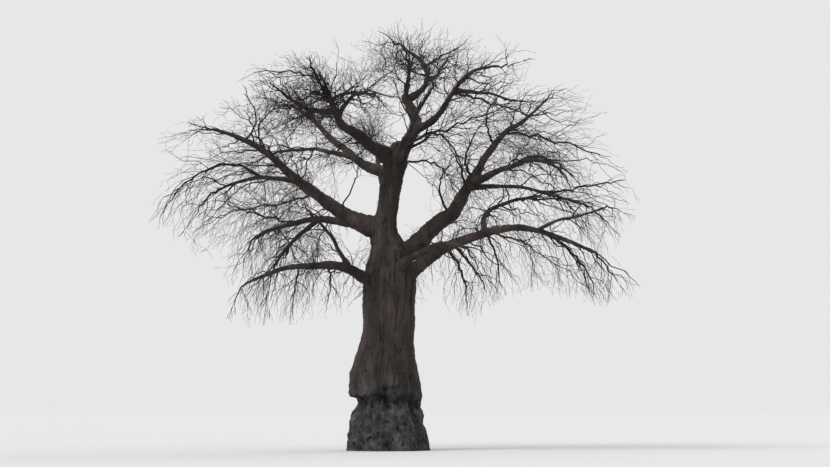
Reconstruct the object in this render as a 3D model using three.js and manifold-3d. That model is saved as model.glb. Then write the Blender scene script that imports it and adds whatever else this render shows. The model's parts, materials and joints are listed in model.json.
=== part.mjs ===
// Baobab tree, bare in the dry season: a stout trunk, tapering boughs and masses of bare twigs.
// Millimetres, +Z up. The origin is the middle of the flat cut under the trunk, at ground level.
// +X is the side of the low right bough, and -Y is the front.
// Headings are degrees seen from above, from +X towards +Y. Climbs are degrees above the level.

import * as THREE from 'three';
import Module from 'manifold-3d';

const wasm = await Module();
wasm.setup();

// Clearance between two sub-parts that meet, and the least room round a twig.
const GAP = 0.3;
const TWIG_ROOM = 6;

// Trunk: [height, width, shift of its middle to +X], from the ground to the upper fork.
const TRUNK_OUTLINE = [
  [0, 3380, -20], [420, 3260, -30], [900, 3120, -40], [1350, 3010, -45], [1700, 2950, -45],
  [1950, 2950, -45], [2200, 2970, -55], [2450, 3000, -80], [2750, 3000, -110], [3050, 2920, -140],
  [3450, 2700, -100], [3900, 2500, -50], [4350, 2320, -10], [4900, 2190, 10], [5600, 2160, 10],
  [6300, 2190, 10], [6900, 2270, 40], [7500, 2180, 80], [8000, 1840, 90], [8500, 1480, 10],
  [9000, 1230, -120], [9600, 1040, -140], [10200, 900, -30], [10900, 850, 80], [11700, 880, 230],
  [12300, 980, 350], [12750, 860, 420],
];
const TRUNK_SIDES = 24;
// Broad upright folds that fade out up the trunk and wind slowly round it.
const FOLDS = 7;
const FOLD_DEPTH = 0.045;
const FOLD_FADE = 5200;
const FOLD_WIND = 2600;
const FOLD_START = 0.6;
// The worn band just above the foot: the bark stands over it as a lip, most on the left.
const WORN_HEIGHT = 1900;
const WORN_RISE = 260;
const WORN_DEPTH = 270;
const WORN_LEAST = 0.05;
const WORN_HEADING = 190;

// Boughs. at is the height up the trunk, or the share along the bough that bears this one.
// leave and arrive are [heading, climb] at the root and at the tip; girth is [root, tip] diameter.
const BOUGHS = [
  { name: 'left_long_bough', on: 'trunk', at: 9380, tip: [-7200, -1500, 13420],
    leave: [187, 9], arrive: [190, 12], girth: [780, 140] },
  { name: 'left_back_bough', on: 'trunk', at: 9250, tip: [-5750, 4500, 9600],
    leave: [137, 19], arrive: [138, -15], girth: [510, 140] },
  { name: 'left_drooping_bough', on: 'trunk', at: 6400, tip: [-5500, -5200, 6750],
    leave: [219, 43], arrive: [228, -22], girth: [600, 100], bow: 0.37 },
  { name: 'right_great_bough', on: 'trunk', at: 7850, tip: [3830, 800, 11940],
    leave: [3, 38], arrive: [16, 63], girth: [960, 440] },
  { name: 'right_low_bough', on: 'trunk', at: 6700, tip: [8200, -3200, 8250],
    leave: [337, 38], arrive: [339, -27], girth: [640, 130], bow: 0.45 },
  { name: 'left_upper_back_bough', on: 'trunk', at: 11750, tip: [-4100, 5000, 15300],
    leave: [145, 11], arrive: [134, 27], girth: [470, 180] },
  { name: 'left_front_bough', on: 'trunk', at: 12300, tip: [-2300, -4000, 14300],
    leave: [214, 28], arrive: [251, 44], girth: [690, 220] },
  { name: 'crown_bough', on: 'trunk', at: 12500, tip: [720, 800, 15200],
    leave: [8, 50], arrive: [150, 56], girth: [640, 390], bow: 0.5 },
  { name: 'back_bough', on: 'trunk', at: 9700, tip: [-640, 5600, 13550],
    leave: [94, 33], arrive: [98, 35], girth: [500, 140] },
  { name: 'back_right_bough', on: 'trunk', at: 7800, tip: [3900, 6200, 12400],
    leave: [62, 26], arrive: [61, 48], girth: [560, 140] },
  { name: 'back_low_bough', on: 'trunk', at: 7300, tip: [250, 6600, 8650],
    leave: [90, 20], arrive: [88, -8], girth: [480, 130] },
  { name: 'front_right_bough', on: 'trunk', at: 7300, tip: [3000, -5200, 8200],
    leave: [297, 22], arrive: [299, -14], girth: [480, 130] },
  { name: 'front_crown_bough', on: 'trunk', at: 12200, tip: [1650, -5000, 14300],
    leave: [281, 20], arrive: [288, 18], girth: [400, 130] },
  { name: 'left_long_side_bough', on: 'left_long_bough', at: 0.5, tip: [-6800, -3000, 10780],
    leave: [218, 8], arrive: [222, -27], girth: [240, 115] },
  { name: 'left_knotted_bough', on: 'left_back_bough', at: 0.53, tip: [-4670, -800, 7920],
    leave: [246, -22], arrive: [256, -32], girth: [240, 120] },
  { name: 'left_cross_bough', on: 'left_drooping_bough', at: 0.3, tip: [-2830, -3200, 9450],
    leave: [228, 52], arrive: [225, 38], girth: [220, 120] },
  { name: 'left_upper_side_bough', on: 'left_upper_back_bough', at: 0.34, tip: [-4970, 4600, 13350],
    leave: [150, 18], arrive: [140, -2], girth: [240, 125] },
  { name: 'front_knot_left_bough', on: 'left_front_bough', at: 0.88, tip: [-4100, -5300, 14320],
    leave: [218, -12], arrive: [228, 28], girth: [260, 120] },
  { name: 'front_knot_up_bough', on: 'left_front_bough', at: 0.82, tip: [-2950, -4600, 15400],
    leave: [205, 62], arrive: [233, 50], girth: [200, 110] },
  { name: 'front_knot_right_bough', on: 'left_front_bough', at: 0.8, tip: [-630, -6200, 14170],
    leave: [285, 28], arrive: [304, -16], girth: [210, 110] },
  { name: 'crown_right_bough', on: 'crown_bough', at: 0.46, tip: [4050, -3000, 15800],
    leave: [330, 4], arrive: [322, -5], girth: [330, 125] },
  { name: 'crown_left_bough', on: 'crown_bough', at: 0.94, tip: [860, -2200, 16200],
    leave: [258, 40], arrive: [256, 18], girth: [200, 110] },
  { name: 'crown_top_bough', on: 'crown_bough', at: 0.95, tip: [930, 1600, 17330],
    leave: [17, 30], arrive: [162, 32], girth: [350, 130], bow: 0.6 },
  { name: 'crown_back_bough', on: 'crown_top_bough', at: 0.45, tip: [2560, 4800, 17500],
    leave: [70, 10], arrive: [74, 24], girth: [190, 115] },
  { name: 'crown_right_side_bough', on: 'crown_right_bough', at: 0.6, tip: [5000, 1500, 15300],
    leave: [52, -2], arrive: [50, -9], girth: [190, 105] },
  { name: 'right_upper_front_bough', on: 'right_great_bough', at: 0.9, tip: [6700, -4000, 11650],
    leave: [306, 5], arrive: [302, -22], girth: [330, 140] },
  { name: 'right_middle_bough', on: 'right_great_bough', at: 0.84, tip: [8100, -800, 10420],
    leave: [345, 12], arrive: [342, -19], girth: [220, 105] },
  { name: 'right_upper_back_bough', on: 'right_great_bough', at: 1, tip: [7050, 4800, 15700],
    leave: [70, 50], arrive: [52, 38], girth: [370, 100] },
  { name: 'right_low_riser_bough', on: 'right_low_bough', at: 0.53, tip: [6450, 2600, 11100],
    leave: [118, 42], arrive: [55, 12], girth: [230, 115] },
  { name: 'right_low_side_bough', on: 'right_low_bough', at: 0.76, tip: [8540, -5200, 9690],
    leave: [308, 22], arrive: [308, 12], girth: [150, 90] },
];
const BOUGH_SIDES = 7;
const RING_STEP = 850;
const LEAST_RINGS = 5;
// How far a bough runs straight at its ends, as a share of its span, unless its own bow says so.
const BOW = 0.36;
// The swelling at a bough's root, as shares of its girth and of its length.
const FLARE = 0.3;
const FLARE_RUN = 0.16;
const TAPER = 0.8;
// The meander of a bough, as a share of its mean girth, and its waves on the three axes.
const MEANDER = 0.18;
const MEANDER_WAVES = [9, 11, 13];

// Masses of twigs, one at the tip of each bough that no other bough carries on.
// length runs ahead of the tip, width across and height upright. hang is 1 where twigs weep, -1 where
// they rise.
const MASSES = [
  { bough: 'left_long_bough', length: 3500, width: 4000, height: 3300, hang: 0 },
  { bough: 'left_back_bough', length: 3700, width: 4000, height: 3900, hang: 0.45 },
  { bough: 'left_drooping_bough', length: 2300, width: 3200, height: 3000, hang: 0.8 },
  { bough: 'right_low_bough', length: 3800, width: 3500, height: 3700, hang: 0.6 },
  { bough: 'left_upper_back_bough', length: 3300, width: 4300, height: 3400, hang: 0.25 },
  { bough: 'left_front_bough', length: 2600, width: 3600, height: 3200, hang: 0 },
  { bough: 'back_bough', length: 3600, width: 3600, height: 3200, hang: 0 },
  { bough: 'back_right_bough', length: 3600, width: 4000, height: 3800, hang: 0.1 },
  { bough: 'back_low_bough', length: 3500, width: 2500, height: 3900, hang: 0.7 },
  { bough: 'front_right_bough', length: 3300, width: 3300, height: 4500, hang: 0.85 },
  { bough: 'front_crown_bough', length: 3200, width: 3600, height: 3200, hang: -0.1 },
  { bough: 'left_long_side_bough', length: 3900, width: 3800, height: 3800, hang: 0.4 },
  { bough: 'left_knotted_bough', length: 3100, width: 3700, height: 4200, hang: 0.75 },
  { bough: 'left_cross_bough', length: 2800, width: 3500, height: 3300, hang: 0 },
  { bough: 'left_upper_side_bough', length: 4200, width: 4000, height: 3300, hang: 0.2 },
  { bough: 'front_knot_left_bough', length: 3500, width: 3800, height: 3200, hang: 0.1 },
  { bough: 'front_knot_up_bough', length: 2800, width: 3500, height: 2900, hang: -0.2 },
  { bough: 'front_knot_right_bough', length: 3200, width: 3400, height: 3000, hang: -0.1 },
  { bough: 'crown_right_bough', length: 3700, width: 3700, height: 2700, hang: 0 },
  { bough: 'crown_left_bough', length: 3000, width: 3700, height: 2900, hang: -0.3 },
  { bough: 'crown_top_bough', length: 3900, width: 4000, height: 2500, hang: 0 },
  { bough: 'crown_back_bough', length: 3300, width: 4100, height: 2900, hang: -0.1 },
  { bough: 'crown_right_side_bough', length: 3500, width: 3500, height: 2900, hang: 0 },
  { bough: 'right_upper_front_bough', length: 3900, width: 3900, height: 3300, hang: 0.15 },
  { bough: 'right_middle_bough', length: 3600, width: 3800, height: 3600, hang: 0.35 },
  { bough: 'right_upper_back_bough', length: 3700, width: 4200, height: 3400, hang: 0 },
  { bough: 'right_low_riser_bough', length: 3600, width: 3800, height: 3100, hang: 0.1 },
  { bough: 'right_low_side_bough', length: 2900, width: 3400, height: 3100, hang: 0.3 },
];
// The rule that every mass grows by: a stem, twigs on the stem, then twigs on those.
// share is the length as a share of the mass's length, or of the twig that bears it. spread is the
// angle off that twig, first and last are where twigs start and stop along it, girth their thickness.
const STEM = { share: 0.55, steps: 3, sides: 4, taper: 0.5, crook: 0.3 };
const TWIGS = [
  { share: 0.5, steps: 2, girth: [0.55, 0.7], spread: [40, 75], crook: 0.32, first: 0.1, last: 0.92 },
  { share: 0.62, steps: 1, girth: [0.6, 0.75], spread: [32, 66], crook: 0, first: 0.25, last: 0.92 },
];
// On a stem there is a twig for each stretch of the mass's width, and on each of those three.
const TWIG_SPACING = 700;
const TWIGS_ON_TWIG = 3;
// The last twig of each carries on from the end, nearly straight.
const LEADER = { place: 0.97, spread: 0.25, girth: 0.9 };
const TWIG_TIP = 9;
const TWIG_SIDES = 3;
const GOLDEN_TURN = 137.5;
const TURN_PLAY = 50;
const QUARTER_TURN = 90;
const LENGTH_PLAY = [0.75, 1.25];
// A twig that would leave its space or touch a limb is tried shorter, then skipped.
const SHORTENED = [1, 0.72, 0.5];
const HANG_PULL = 0.95;
// The middle of a mass's space, ahead of the tip and below it, as shares of its length and height.
const SPACE_AHEAD = 0.34;
const SPACE_DROP = 0.3;

const TRUNK_BARK = new THREE.MeshStandardMaterial({ color: 0x6b6059, roughness: 0.88, metalness: 0 });
const BOUGH_BARK = new THREE.MeshStandardMaterial({ color: 0x62584f, roughness: 0.88, metalness: 0 });
const TWIG_BARK = new THREE.MeshStandardMaterial({ color: 0x53493f, roughness: 0.9, metalness: 0 });

const UP = new THREE.Vector3(0, 0, 1);
const FRONT = new THREE.Vector3(0, -1, 0);
const { degToRad: radians, lerp, clamp } = THREE.MathUtils;

// A number from 0 to 1 that depends only on its key.
function chance(key) {
  const value = Math.sin(key * 12.9898 + 78.233) * 43758.5453;
  return value - Math.floor(value);
}

// The unit vector of a heading and a climb.
function towards([heading, climb]) {
  const level = Math.cos(radians(climb));
  return new THREE.Vector3(
    level * Math.cos(radians(heading)),
    level * Math.sin(radians(heading)),
    Math.sin(radians(climb)),
  );
}

// A closed solid through rings of equal point counts, with a flat cap at each end, or, where a tip
// is given, one point at the far end.
function loft(rings, tip) {
  const sides = rings[0].length;
  const last = (rings.length - 1) * sides;
  const points = tip ? [...rings.flat(), tip] : rings.flat();
  const triangles = [];
  for (let ring = 0; ring < last; ring += sides) {
    for (let side = 0; side < sides; side++) {
      const [a, b] = [ring + side, ring + ((side + 1) % sides)];
      triangles.push(a, b, b + sides, a, b + sides, a + sides);
    }
  }
  for (let side = 1; side + 1 < sides; side++) {
    triangles.push(0, side + 1, side);
    if (!tip) triangles.push(last, last + side, last + side + 1);
  }
  for (let side = 0; tip && side < sides; side++) {
    triangles.push(last + side, last + ((side + 1) % sides), points.length - 1);
  }
  return new wasm.Manifold(new wasm.Mesh({
    numProp: 3,
    vertProperties: new Float32Array(points.flatMap((point) => point.toArray())),
    triVerts: new Uint32Array(triangles),
  }));
}

function meshOf(solid, name, material) {
  const { vertProperties, triVerts } = solid.getMesh();
  const geometry = new THREE.BufferGeometry();
  geometry.setAttribute('position', new THREE.BufferAttribute(vertProperties, 3));
  geometry.setIndex(new THREE.BufferAttribute(triVerts, 1));
  geometry.computeVertexNormals();
  const mesh = new THREE.Mesh(geometry, material);
  mesh.name = name;
  return mesh;
}

// A direction square to the given one.
function squareTo(direction) {
  const other = Math.abs(direction.z) < 0.9 ? UP : FRONT;
  return direction.clone().cross(other).normalize();
}

// Rings square to a line of points. Each ring keeps the turn of the one before it. starting and
// ending are the directions of the first and the last ring, where they are given.
function ringsAlong(points, radiusAt, sides, starting, ending) {
  const last = points.length - 1;
  let across = null;
  return points.map((point, index) => {
    const chord = points[Math.min(index + 1, last)].clone().sub(points[Math.max(index - 1, 0)]).normalize();
    const direction = (index === 0 && starting) || (index === last && ending) || chord;
    across = across ?? squareTo(direction);
    across = across.clone().addScaledVector(direction, -across.dot(direction)).normalize();
    const side = direction.clone().cross(across);
    return Array.from({ length: sides }, (_, corner) => {
      const angle = (2 * Math.PI * corner) / sides;
      return point.clone()
        .addScaledVector(across, radiusAt(index) * Math.cos(angle))
        .addScaledVector(side, radiusAt(index) * Math.sin(angle));
    });
  });
}

// The point at a share of a line, and the direction of the line there.
function pointOn(line, share) {
  const place = share * (line.length - 1);
  const below = Math.min(Math.floor(place), line.length - 2);
  return {
    point: line[below].clone().lerp(line[below + 1], place - below),
    along: line[below + 1].clone().sub(line[below]).normalize(),
  };
}

// Trunk

// The middle of the trunk and its mean radius at a height.
function trunkAt(height) {
  const found = TRUNK_OUTLINE.findIndex(([top]) => top >= height);
  const upper = Math.max(found, 1);
  const [[low, ...below], [high, ...above]] = [TRUNK_OUTLINE[upper - 1], TRUNK_OUTLINE[upper]];
  const [width, shift] = [0, 1].map((item) => lerp(below[item], above[item], (height - low) / (high - low)));
  return { middle: new THREE.Vector3(shift, 0, height), radius: width / 2 };
}

// How far the surface stands from the trunk's middle in one direction.
function trunkReach(height, radius, angle) {
  const fold = FOLD_DEPTH * Math.max(0, 1 - height / FOLD_FADE);
  const folded = radius * (1 + fold * Math.cos(FOLDS * angle + FOLD_START + height / FOLD_WIND));
  const band = Math.exp(-(((height - WORN_HEIGHT) / WORN_RISE) ** 2));
  const facing = 0.5 + 0.5 * Math.cos(angle - radians(WORN_HEADING));
  return folded - WORN_DEPTH * band * lerp(WORN_LEAST, 1, facing);
}

function trunkSolid(grown) {
  const top = TRUNK_OUTLINE.length - 1;
  return loft(TRUNK_OUTLINE.map(([height], index) => {
    const { middle, radius } = trunkAt(height);
    middle.z += index === top ? grown : 0;
    return Array.from({ length: TRUNK_SIDES }, (_, side) => {
      const angle = (2 * Math.PI * side) / TRUNK_SIDES;
      const reach = trunkReach(height, radius, angle) + grown;
      return new THREE.Vector3(reach * Math.cos(angle), reach * Math.sin(angle), 0).add(middle);
    });
  }));
}

// Boughs

// The middle line of a bough: one smooth curve from root to tip, with a slight meander.
function boughLine(bough, order) {
  const ending = towards(bough.arrive);
  const tip = new THREE.Vector3(...bough.tip);
  const bearer = limbs.get(bough.on);
  const onwards = bough.at === 1;
  const leave = onwards ? bearer.ending.clone() : towards(bough.leave);
  const root = bearer ? pointOn(bearer.points, bough.at).point : trunkAt(bough.at).middle;
  root.addScaledVector(leave, onwards ? GAP : 0);
  const pull = (bough.bow ?? BOW) * root.distanceTo(tip);
  const curve = new THREE.CubicBezierCurve3(
    root,
    root.clone().addScaledVector(leave, pull),
    tip.clone().addScaledVector(ending, -pull),
    tip,
  );
  const count = Math.max(LEAST_RINGS, Math.round(curve.getLength() / RING_STEP));
  const sway = (MEANDER * (bough.girth[0] + bough.girth[1])) / 2;
  const phase = 6 * chance(order);
  const points = curve.getSpacedPoints(count).map((point, index) => {
    const share = index / count;
    const turns = MEANDER_WAVES.map((wave, axis) => Math.sin(wave * share + (axis + 1) * phase));
    return point.addScaledVector(new THREE.Vector3(...turns), sway * Math.sin(Math.PI * share) ** 2);
  });
  const radii = points.map((_, index) => boughRadius(bough.girth, index / count, onwards ? 0 : FLARE));
  return { points, radii, leave, ending };
}

function boughRadius([root, tip], share, flare) {
  return (lerp(root, tip, share ** TAPER) + flare * root * Math.exp(-((share / FLARE_RUN) ** 2))) / 2;
}

function boughSolid({ points, radii, leave, ending }, grown) {
  const line = points.map((point) => point.clone());
  line[0].addScaledVector(leave, -grown);
  line[line.length - 1].addScaledVector(ending, grown);
  return loft(ringsAlong(line, (index) => radii[index] + grown, BOUGH_SIDES, leave, ending));
}

// Twigs

// The least distance between two straight stretches.
function stretchDistance([a, b], [c, d]) {
  const u = b.clone().sub(a);
  const v = d.clone().sub(c);
  const w = a.clone().sub(c);
  const [uu, uv, vv, uw, vw] = [u.dot(u), u.dot(v), v.dot(v), u.dot(w), v.dot(w)];
  const spread = uu * vv - uv * uv;
  const near = spread > 0 ? clamp((uv * vw - vv * uw) / spread, 0, 1) : 0;
  const t = clamp((uv * near + vw) / vv, 0, 1);
  const s = clamp((uv * t - uw) / uu, 0, 1);
  return w.addScaledVector(u, s).addScaledVector(v, -t).length();
}

// The stretches of a line with their thickest radius, for the clearance test.
function stretchesOf(points, radii) {
  return points.slice(1).map((point, index) => ({
    ends: [points[index], point],
    radius: Math.max(radii[index], radii[index + 1]),
  }));
}

function isClear(twig, taken) {
  return stretchesOf(twig.line, twig.line.map(() => twig.root)).every(({ ends, radius }) => taken.every(
    (other) => stretchDistance(ends, other.ends) >= radius + other.radius + TWIG_ROOM,
  ));
}

function isInside(point, space) {
  const away = point.clone().sub(space.middle);
  const ahead = (2 * away.dot(space.ahead)) / space.length;
  const aside = (2 * away.dot(space.aside)) / space.width;
  const above = (2 * away.z) / space.height;
  return ahead ** 2 + aside ** 2 + above ** 2 <= 1;
}

// A crooked line that turns up or down as its mass hangs.
function twigLine(start, direction, length, { steps, crook }, hang, key) {
  const line = [start];
  const heading = direction.clone();
  for (let step = 0; step < steps; step++) {
    const turns = [0, 1, 2].map((axis) => (chance(key + steps * 7 + 3 * step + axis) - 0.5) * crook);
    heading.add(new THREE.Vector3(...turns));
    heading.z -= (HANG_PULL * hang) / steps;
    heading.normalize();
    line.push(line[step].clone().addScaledVector(heading, length / steps));
  }
  return line;
}

// One twig on the twig that bears it, with the full length that the rule gives it.
function growTwig(bearer, rule, index, count, level, { hang, length }, key) {
  const leader = index === count - 1;
  const draw = (item, [least, most]) => lerp(least, most, chance(key + item));
  const along = (index + draw(0.1, [0, 0.7])) / (count - 1);
  const place = leader ? LEADER.place : lerp(rule.first, rule.last, along);
  const { point, along: bearing } = pointOn(bearer.line, place);
  const off = radians(draw(0.3, rule.spread) * (leader ? LEADER.spread : 1));
  const turn = radians(GOLDEN_TURN * index + QUARTER_TURN * bearer.order + draw(0.5, [0, TURN_PLAY]));
  const direction = squareTo(bearing).applyAxisAngle(bearing, turn)
    .multiplyScalar(Math.sin(off)).addScaledVector(bearing, Math.cos(off));
  const reach = (level ? bearer.length : length) * rule.share * draw(0.7, LENGTH_PLAY);
  const girth = lerp(bearer.root, bearer.tip, place) * (leader ? LEADER.girth : draw(0.9, rule.girth));
  return (cut) => ({
    line: twigLine(point, direction, reach * cut, rule, hang, key),
    length: reach * cut,
    root: girth,
    tip: TWIG_TIP,
    order: index,
  });
}

// All twigs of one mass. The stem carries on from the bough's tip.
function growMass(mass, order, limb, taken) {
  const tip = limb.points[limb.points.length - 1];
  const ahead = limb.ending.clone().setZ(0).normalize();
  const middle = tip.clone().addScaledVector(ahead, SPACE_AHEAD * mass.length);
  middle.z -= SPACE_DROP * mass.hang * mass.height;
  const space = { ...mass, ahead, aside: ahead.clone().cross(UP), middle };
  const seed = 1000 * (order + 1);
  const start = tip.clone().addScaledVector(limb.ending, GAP);
  const length = STEM.share * mass.length;
  const line = twigLine(start, limb.ending, length, STEM, mass.hang, seed);
  line[1] = start.clone().addScaledVector(limb.ending, length / STEM.steps);
  const radius = limb.radii[limb.radii.length - 1];
  const stem = { line, length, root: radius, tip: radius * STEM.taper, order: 0, sides: STEM.sides };
  const twigs = [stem];
  let bearers = [stem];
  TWIGS.forEach((rule, level) => {
    const count = level ? TWIGS_ON_TWIG : Math.round(mass.width / TWIG_SPACING);
    bearers = bearers.flatMap((bearer, place) => Array.from({ length: count }, (_, index) => {
      const key = seed + 200 * (level + 1) + 20 * place + 3 * index;
      const grow = growTwig(bearer, rule, index, count, level, mass, key);
      return SHORTENED.map(grow).find((twig) => (
        twig.line.slice(1).every((point) => isInside(point, space)) && isClear(twig, taken)
      ));
    }).filter(Boolean));
    twigs.push(...bearers);
  });
  return twigs;
}

// The stem ends in a flat cap, every other twig in a point.
function twigSolid({ line, root, tip, sides }) {
  const last = line.length - 1;
  const radiusAt = (index) => lerp(root, tip, index / last);
  if (sides) return loft(ringsAlong(line, radiusAt, sides));
  return loft(ringsAlong(line, radiusAt, TWIG_SIDES).slice(0, last), line[last]);
}

// Assembly. Each bough is cut clear of the limbs made before it, and each mass grows clear of all
// limbs and of the masses made before it.

const tree = new THREE.Group();
tree.add(meshOf(trunkSolid(0), 'trunk', TRUNK_BARK));
const limbs = new Map();
const grownLimbs = [trunkSolid(GAP)];
const trunkPlaces = TRUNK_OUTLINE.map(([height]) => trunkAt(height));
const taken = stretchesOf(
  trunkPlaces.map(({ middle }) => middle),
  trunkPlaces.map(({ radius }) => radius * (1 + FOLD_DEPTH)),
);

BOUGHS.forEach((bough, order) => {
  const limb = boughLine(bough, order);
  limbs.set(bough.name, limb);
  const solid = grownLimbs.reduce((rest, other) => rest.subtract(other), boughSolid(limb, 0));
  grownLimbs.push(boughSolid(limb, GAP));
  taken.push(...stretchesOf(limb.points, limb.radii));
  tree.add(meshOf(solid, bough.name, BOUGH_BARK));
});

MASSES.forEach((mass, order) => {
  const twigs = growMass(mass, order, limbs.get(mass.bough), taken);
  const solid = twigs.map(twigSolid).reduce((whole, twig) => whole.add(twig));
  twigs.forEach(({ line, root }) => taken.push(...stretchesOf(line, line.map(() => root))));
  tree.add(meshOf(solid, mass.bough.replace('bough', 'twigs'), TWIG_BARK));
});

export default tree;
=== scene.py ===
# Baobab tree, bare in the dry season: one bark skin over trunk and boughs, and crowns of bare twigs.
# Metres, +Z up. The origin is the middle of the trunk's flat foot. -Y is the front.
# Headings are degrees seen from above, from +X towards +Y. Climbs are degrees above the level.
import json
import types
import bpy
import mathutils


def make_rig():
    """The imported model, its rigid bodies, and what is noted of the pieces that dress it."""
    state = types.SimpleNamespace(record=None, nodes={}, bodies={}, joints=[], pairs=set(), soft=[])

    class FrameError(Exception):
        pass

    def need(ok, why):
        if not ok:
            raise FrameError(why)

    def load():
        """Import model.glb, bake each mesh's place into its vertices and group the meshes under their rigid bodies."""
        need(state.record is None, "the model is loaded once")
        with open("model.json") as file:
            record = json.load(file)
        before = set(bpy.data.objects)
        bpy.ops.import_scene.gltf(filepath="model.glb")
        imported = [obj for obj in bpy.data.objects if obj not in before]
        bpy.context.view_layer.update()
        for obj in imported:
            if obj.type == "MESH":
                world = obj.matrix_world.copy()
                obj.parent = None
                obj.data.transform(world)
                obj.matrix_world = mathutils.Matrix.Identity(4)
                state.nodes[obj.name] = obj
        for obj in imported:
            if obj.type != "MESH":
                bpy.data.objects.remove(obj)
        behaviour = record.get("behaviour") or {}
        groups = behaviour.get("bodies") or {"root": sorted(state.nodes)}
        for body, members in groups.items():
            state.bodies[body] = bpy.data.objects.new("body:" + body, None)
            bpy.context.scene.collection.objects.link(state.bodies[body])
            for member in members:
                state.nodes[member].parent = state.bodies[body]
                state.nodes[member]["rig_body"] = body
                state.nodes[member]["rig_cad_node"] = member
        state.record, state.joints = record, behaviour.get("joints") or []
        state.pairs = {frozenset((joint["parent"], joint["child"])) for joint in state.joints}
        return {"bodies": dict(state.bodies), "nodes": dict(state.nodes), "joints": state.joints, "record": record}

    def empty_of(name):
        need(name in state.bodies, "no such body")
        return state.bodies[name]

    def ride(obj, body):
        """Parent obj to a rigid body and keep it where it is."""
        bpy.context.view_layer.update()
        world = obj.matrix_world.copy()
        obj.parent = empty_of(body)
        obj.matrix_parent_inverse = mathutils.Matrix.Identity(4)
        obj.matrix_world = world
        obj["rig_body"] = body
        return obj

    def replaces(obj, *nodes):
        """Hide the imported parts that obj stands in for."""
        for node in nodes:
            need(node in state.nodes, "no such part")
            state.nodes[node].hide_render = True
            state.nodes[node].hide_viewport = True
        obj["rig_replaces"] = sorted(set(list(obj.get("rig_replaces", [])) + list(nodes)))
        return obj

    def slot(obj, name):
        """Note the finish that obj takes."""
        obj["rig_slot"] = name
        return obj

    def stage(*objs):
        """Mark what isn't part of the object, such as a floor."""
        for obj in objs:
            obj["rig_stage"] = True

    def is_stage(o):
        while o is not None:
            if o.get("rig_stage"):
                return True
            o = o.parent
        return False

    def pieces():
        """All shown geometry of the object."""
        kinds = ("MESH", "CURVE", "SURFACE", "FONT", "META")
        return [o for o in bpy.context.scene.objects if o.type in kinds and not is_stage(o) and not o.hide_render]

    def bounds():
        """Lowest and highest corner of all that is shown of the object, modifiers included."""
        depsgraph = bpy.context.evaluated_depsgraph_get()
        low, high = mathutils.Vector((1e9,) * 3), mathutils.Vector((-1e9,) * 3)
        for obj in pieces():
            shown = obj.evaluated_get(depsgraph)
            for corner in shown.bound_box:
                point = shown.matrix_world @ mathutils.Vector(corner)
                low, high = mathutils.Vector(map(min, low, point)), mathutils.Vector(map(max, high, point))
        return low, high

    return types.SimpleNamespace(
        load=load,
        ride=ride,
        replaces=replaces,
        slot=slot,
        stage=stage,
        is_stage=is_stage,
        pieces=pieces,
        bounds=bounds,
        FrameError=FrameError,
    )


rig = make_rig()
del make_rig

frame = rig.load()

import json
import math
from collections import namedtuple
from types import SimpleNamespace as Record

import bpy
import numpy as np
from mathutils import Vector, noise

cad_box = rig.bounds()

# Trunk: height, width, shift of its middle to +X, from the ground to the upper fork.
TRUNK_OUTLINE = np.array([
    (0.00, 3.38, -0.020), (0.42, 3.26, -0.030), (0.90, 3.12, -0.040), (1.35, 3.01, -0.045),
    (1.70, 2.95, -0.045), (1.95, 2.95, -0.045), (2.20, 2.97, -0.055), (2.45, 3.00, -0.080),
    (2.75, 3.00, -0.110), (3.05, 2.92, -0.140), (3.45, 2.70, -0.100), (3.90, 2.50, -0.050),
    (4.35, 2.32, -0.010), (4.90, 2.19, 0.010), (5.60, 2.16, 0.010), (6.30, 2.19, 0.010),
    (6.90, 2.27, 0.040), (7.50, 2.18, 0.080), (8.00, 1.84, 0.090), (8.50, 1.48, 0.010),
    (9.00, 1.23, -0.120), (9.60, 1.04, -0.140), (10.20, 0.90, -0.030), (10.90, 0.85, 0.080),
    (11.70, 0.88, 0.230), (12.30, 0.98, 0.350), (12.75, 0.86, 0.420),
])
# Broad upright folds that fade out up the trunk and wind slowly round it.
FOLDS = 7
FOLD_DEPTH = 0.045
FOLD_FADE = 5.2
FOLD_WIND = 2.6
FOLD_START = 0.6

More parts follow.
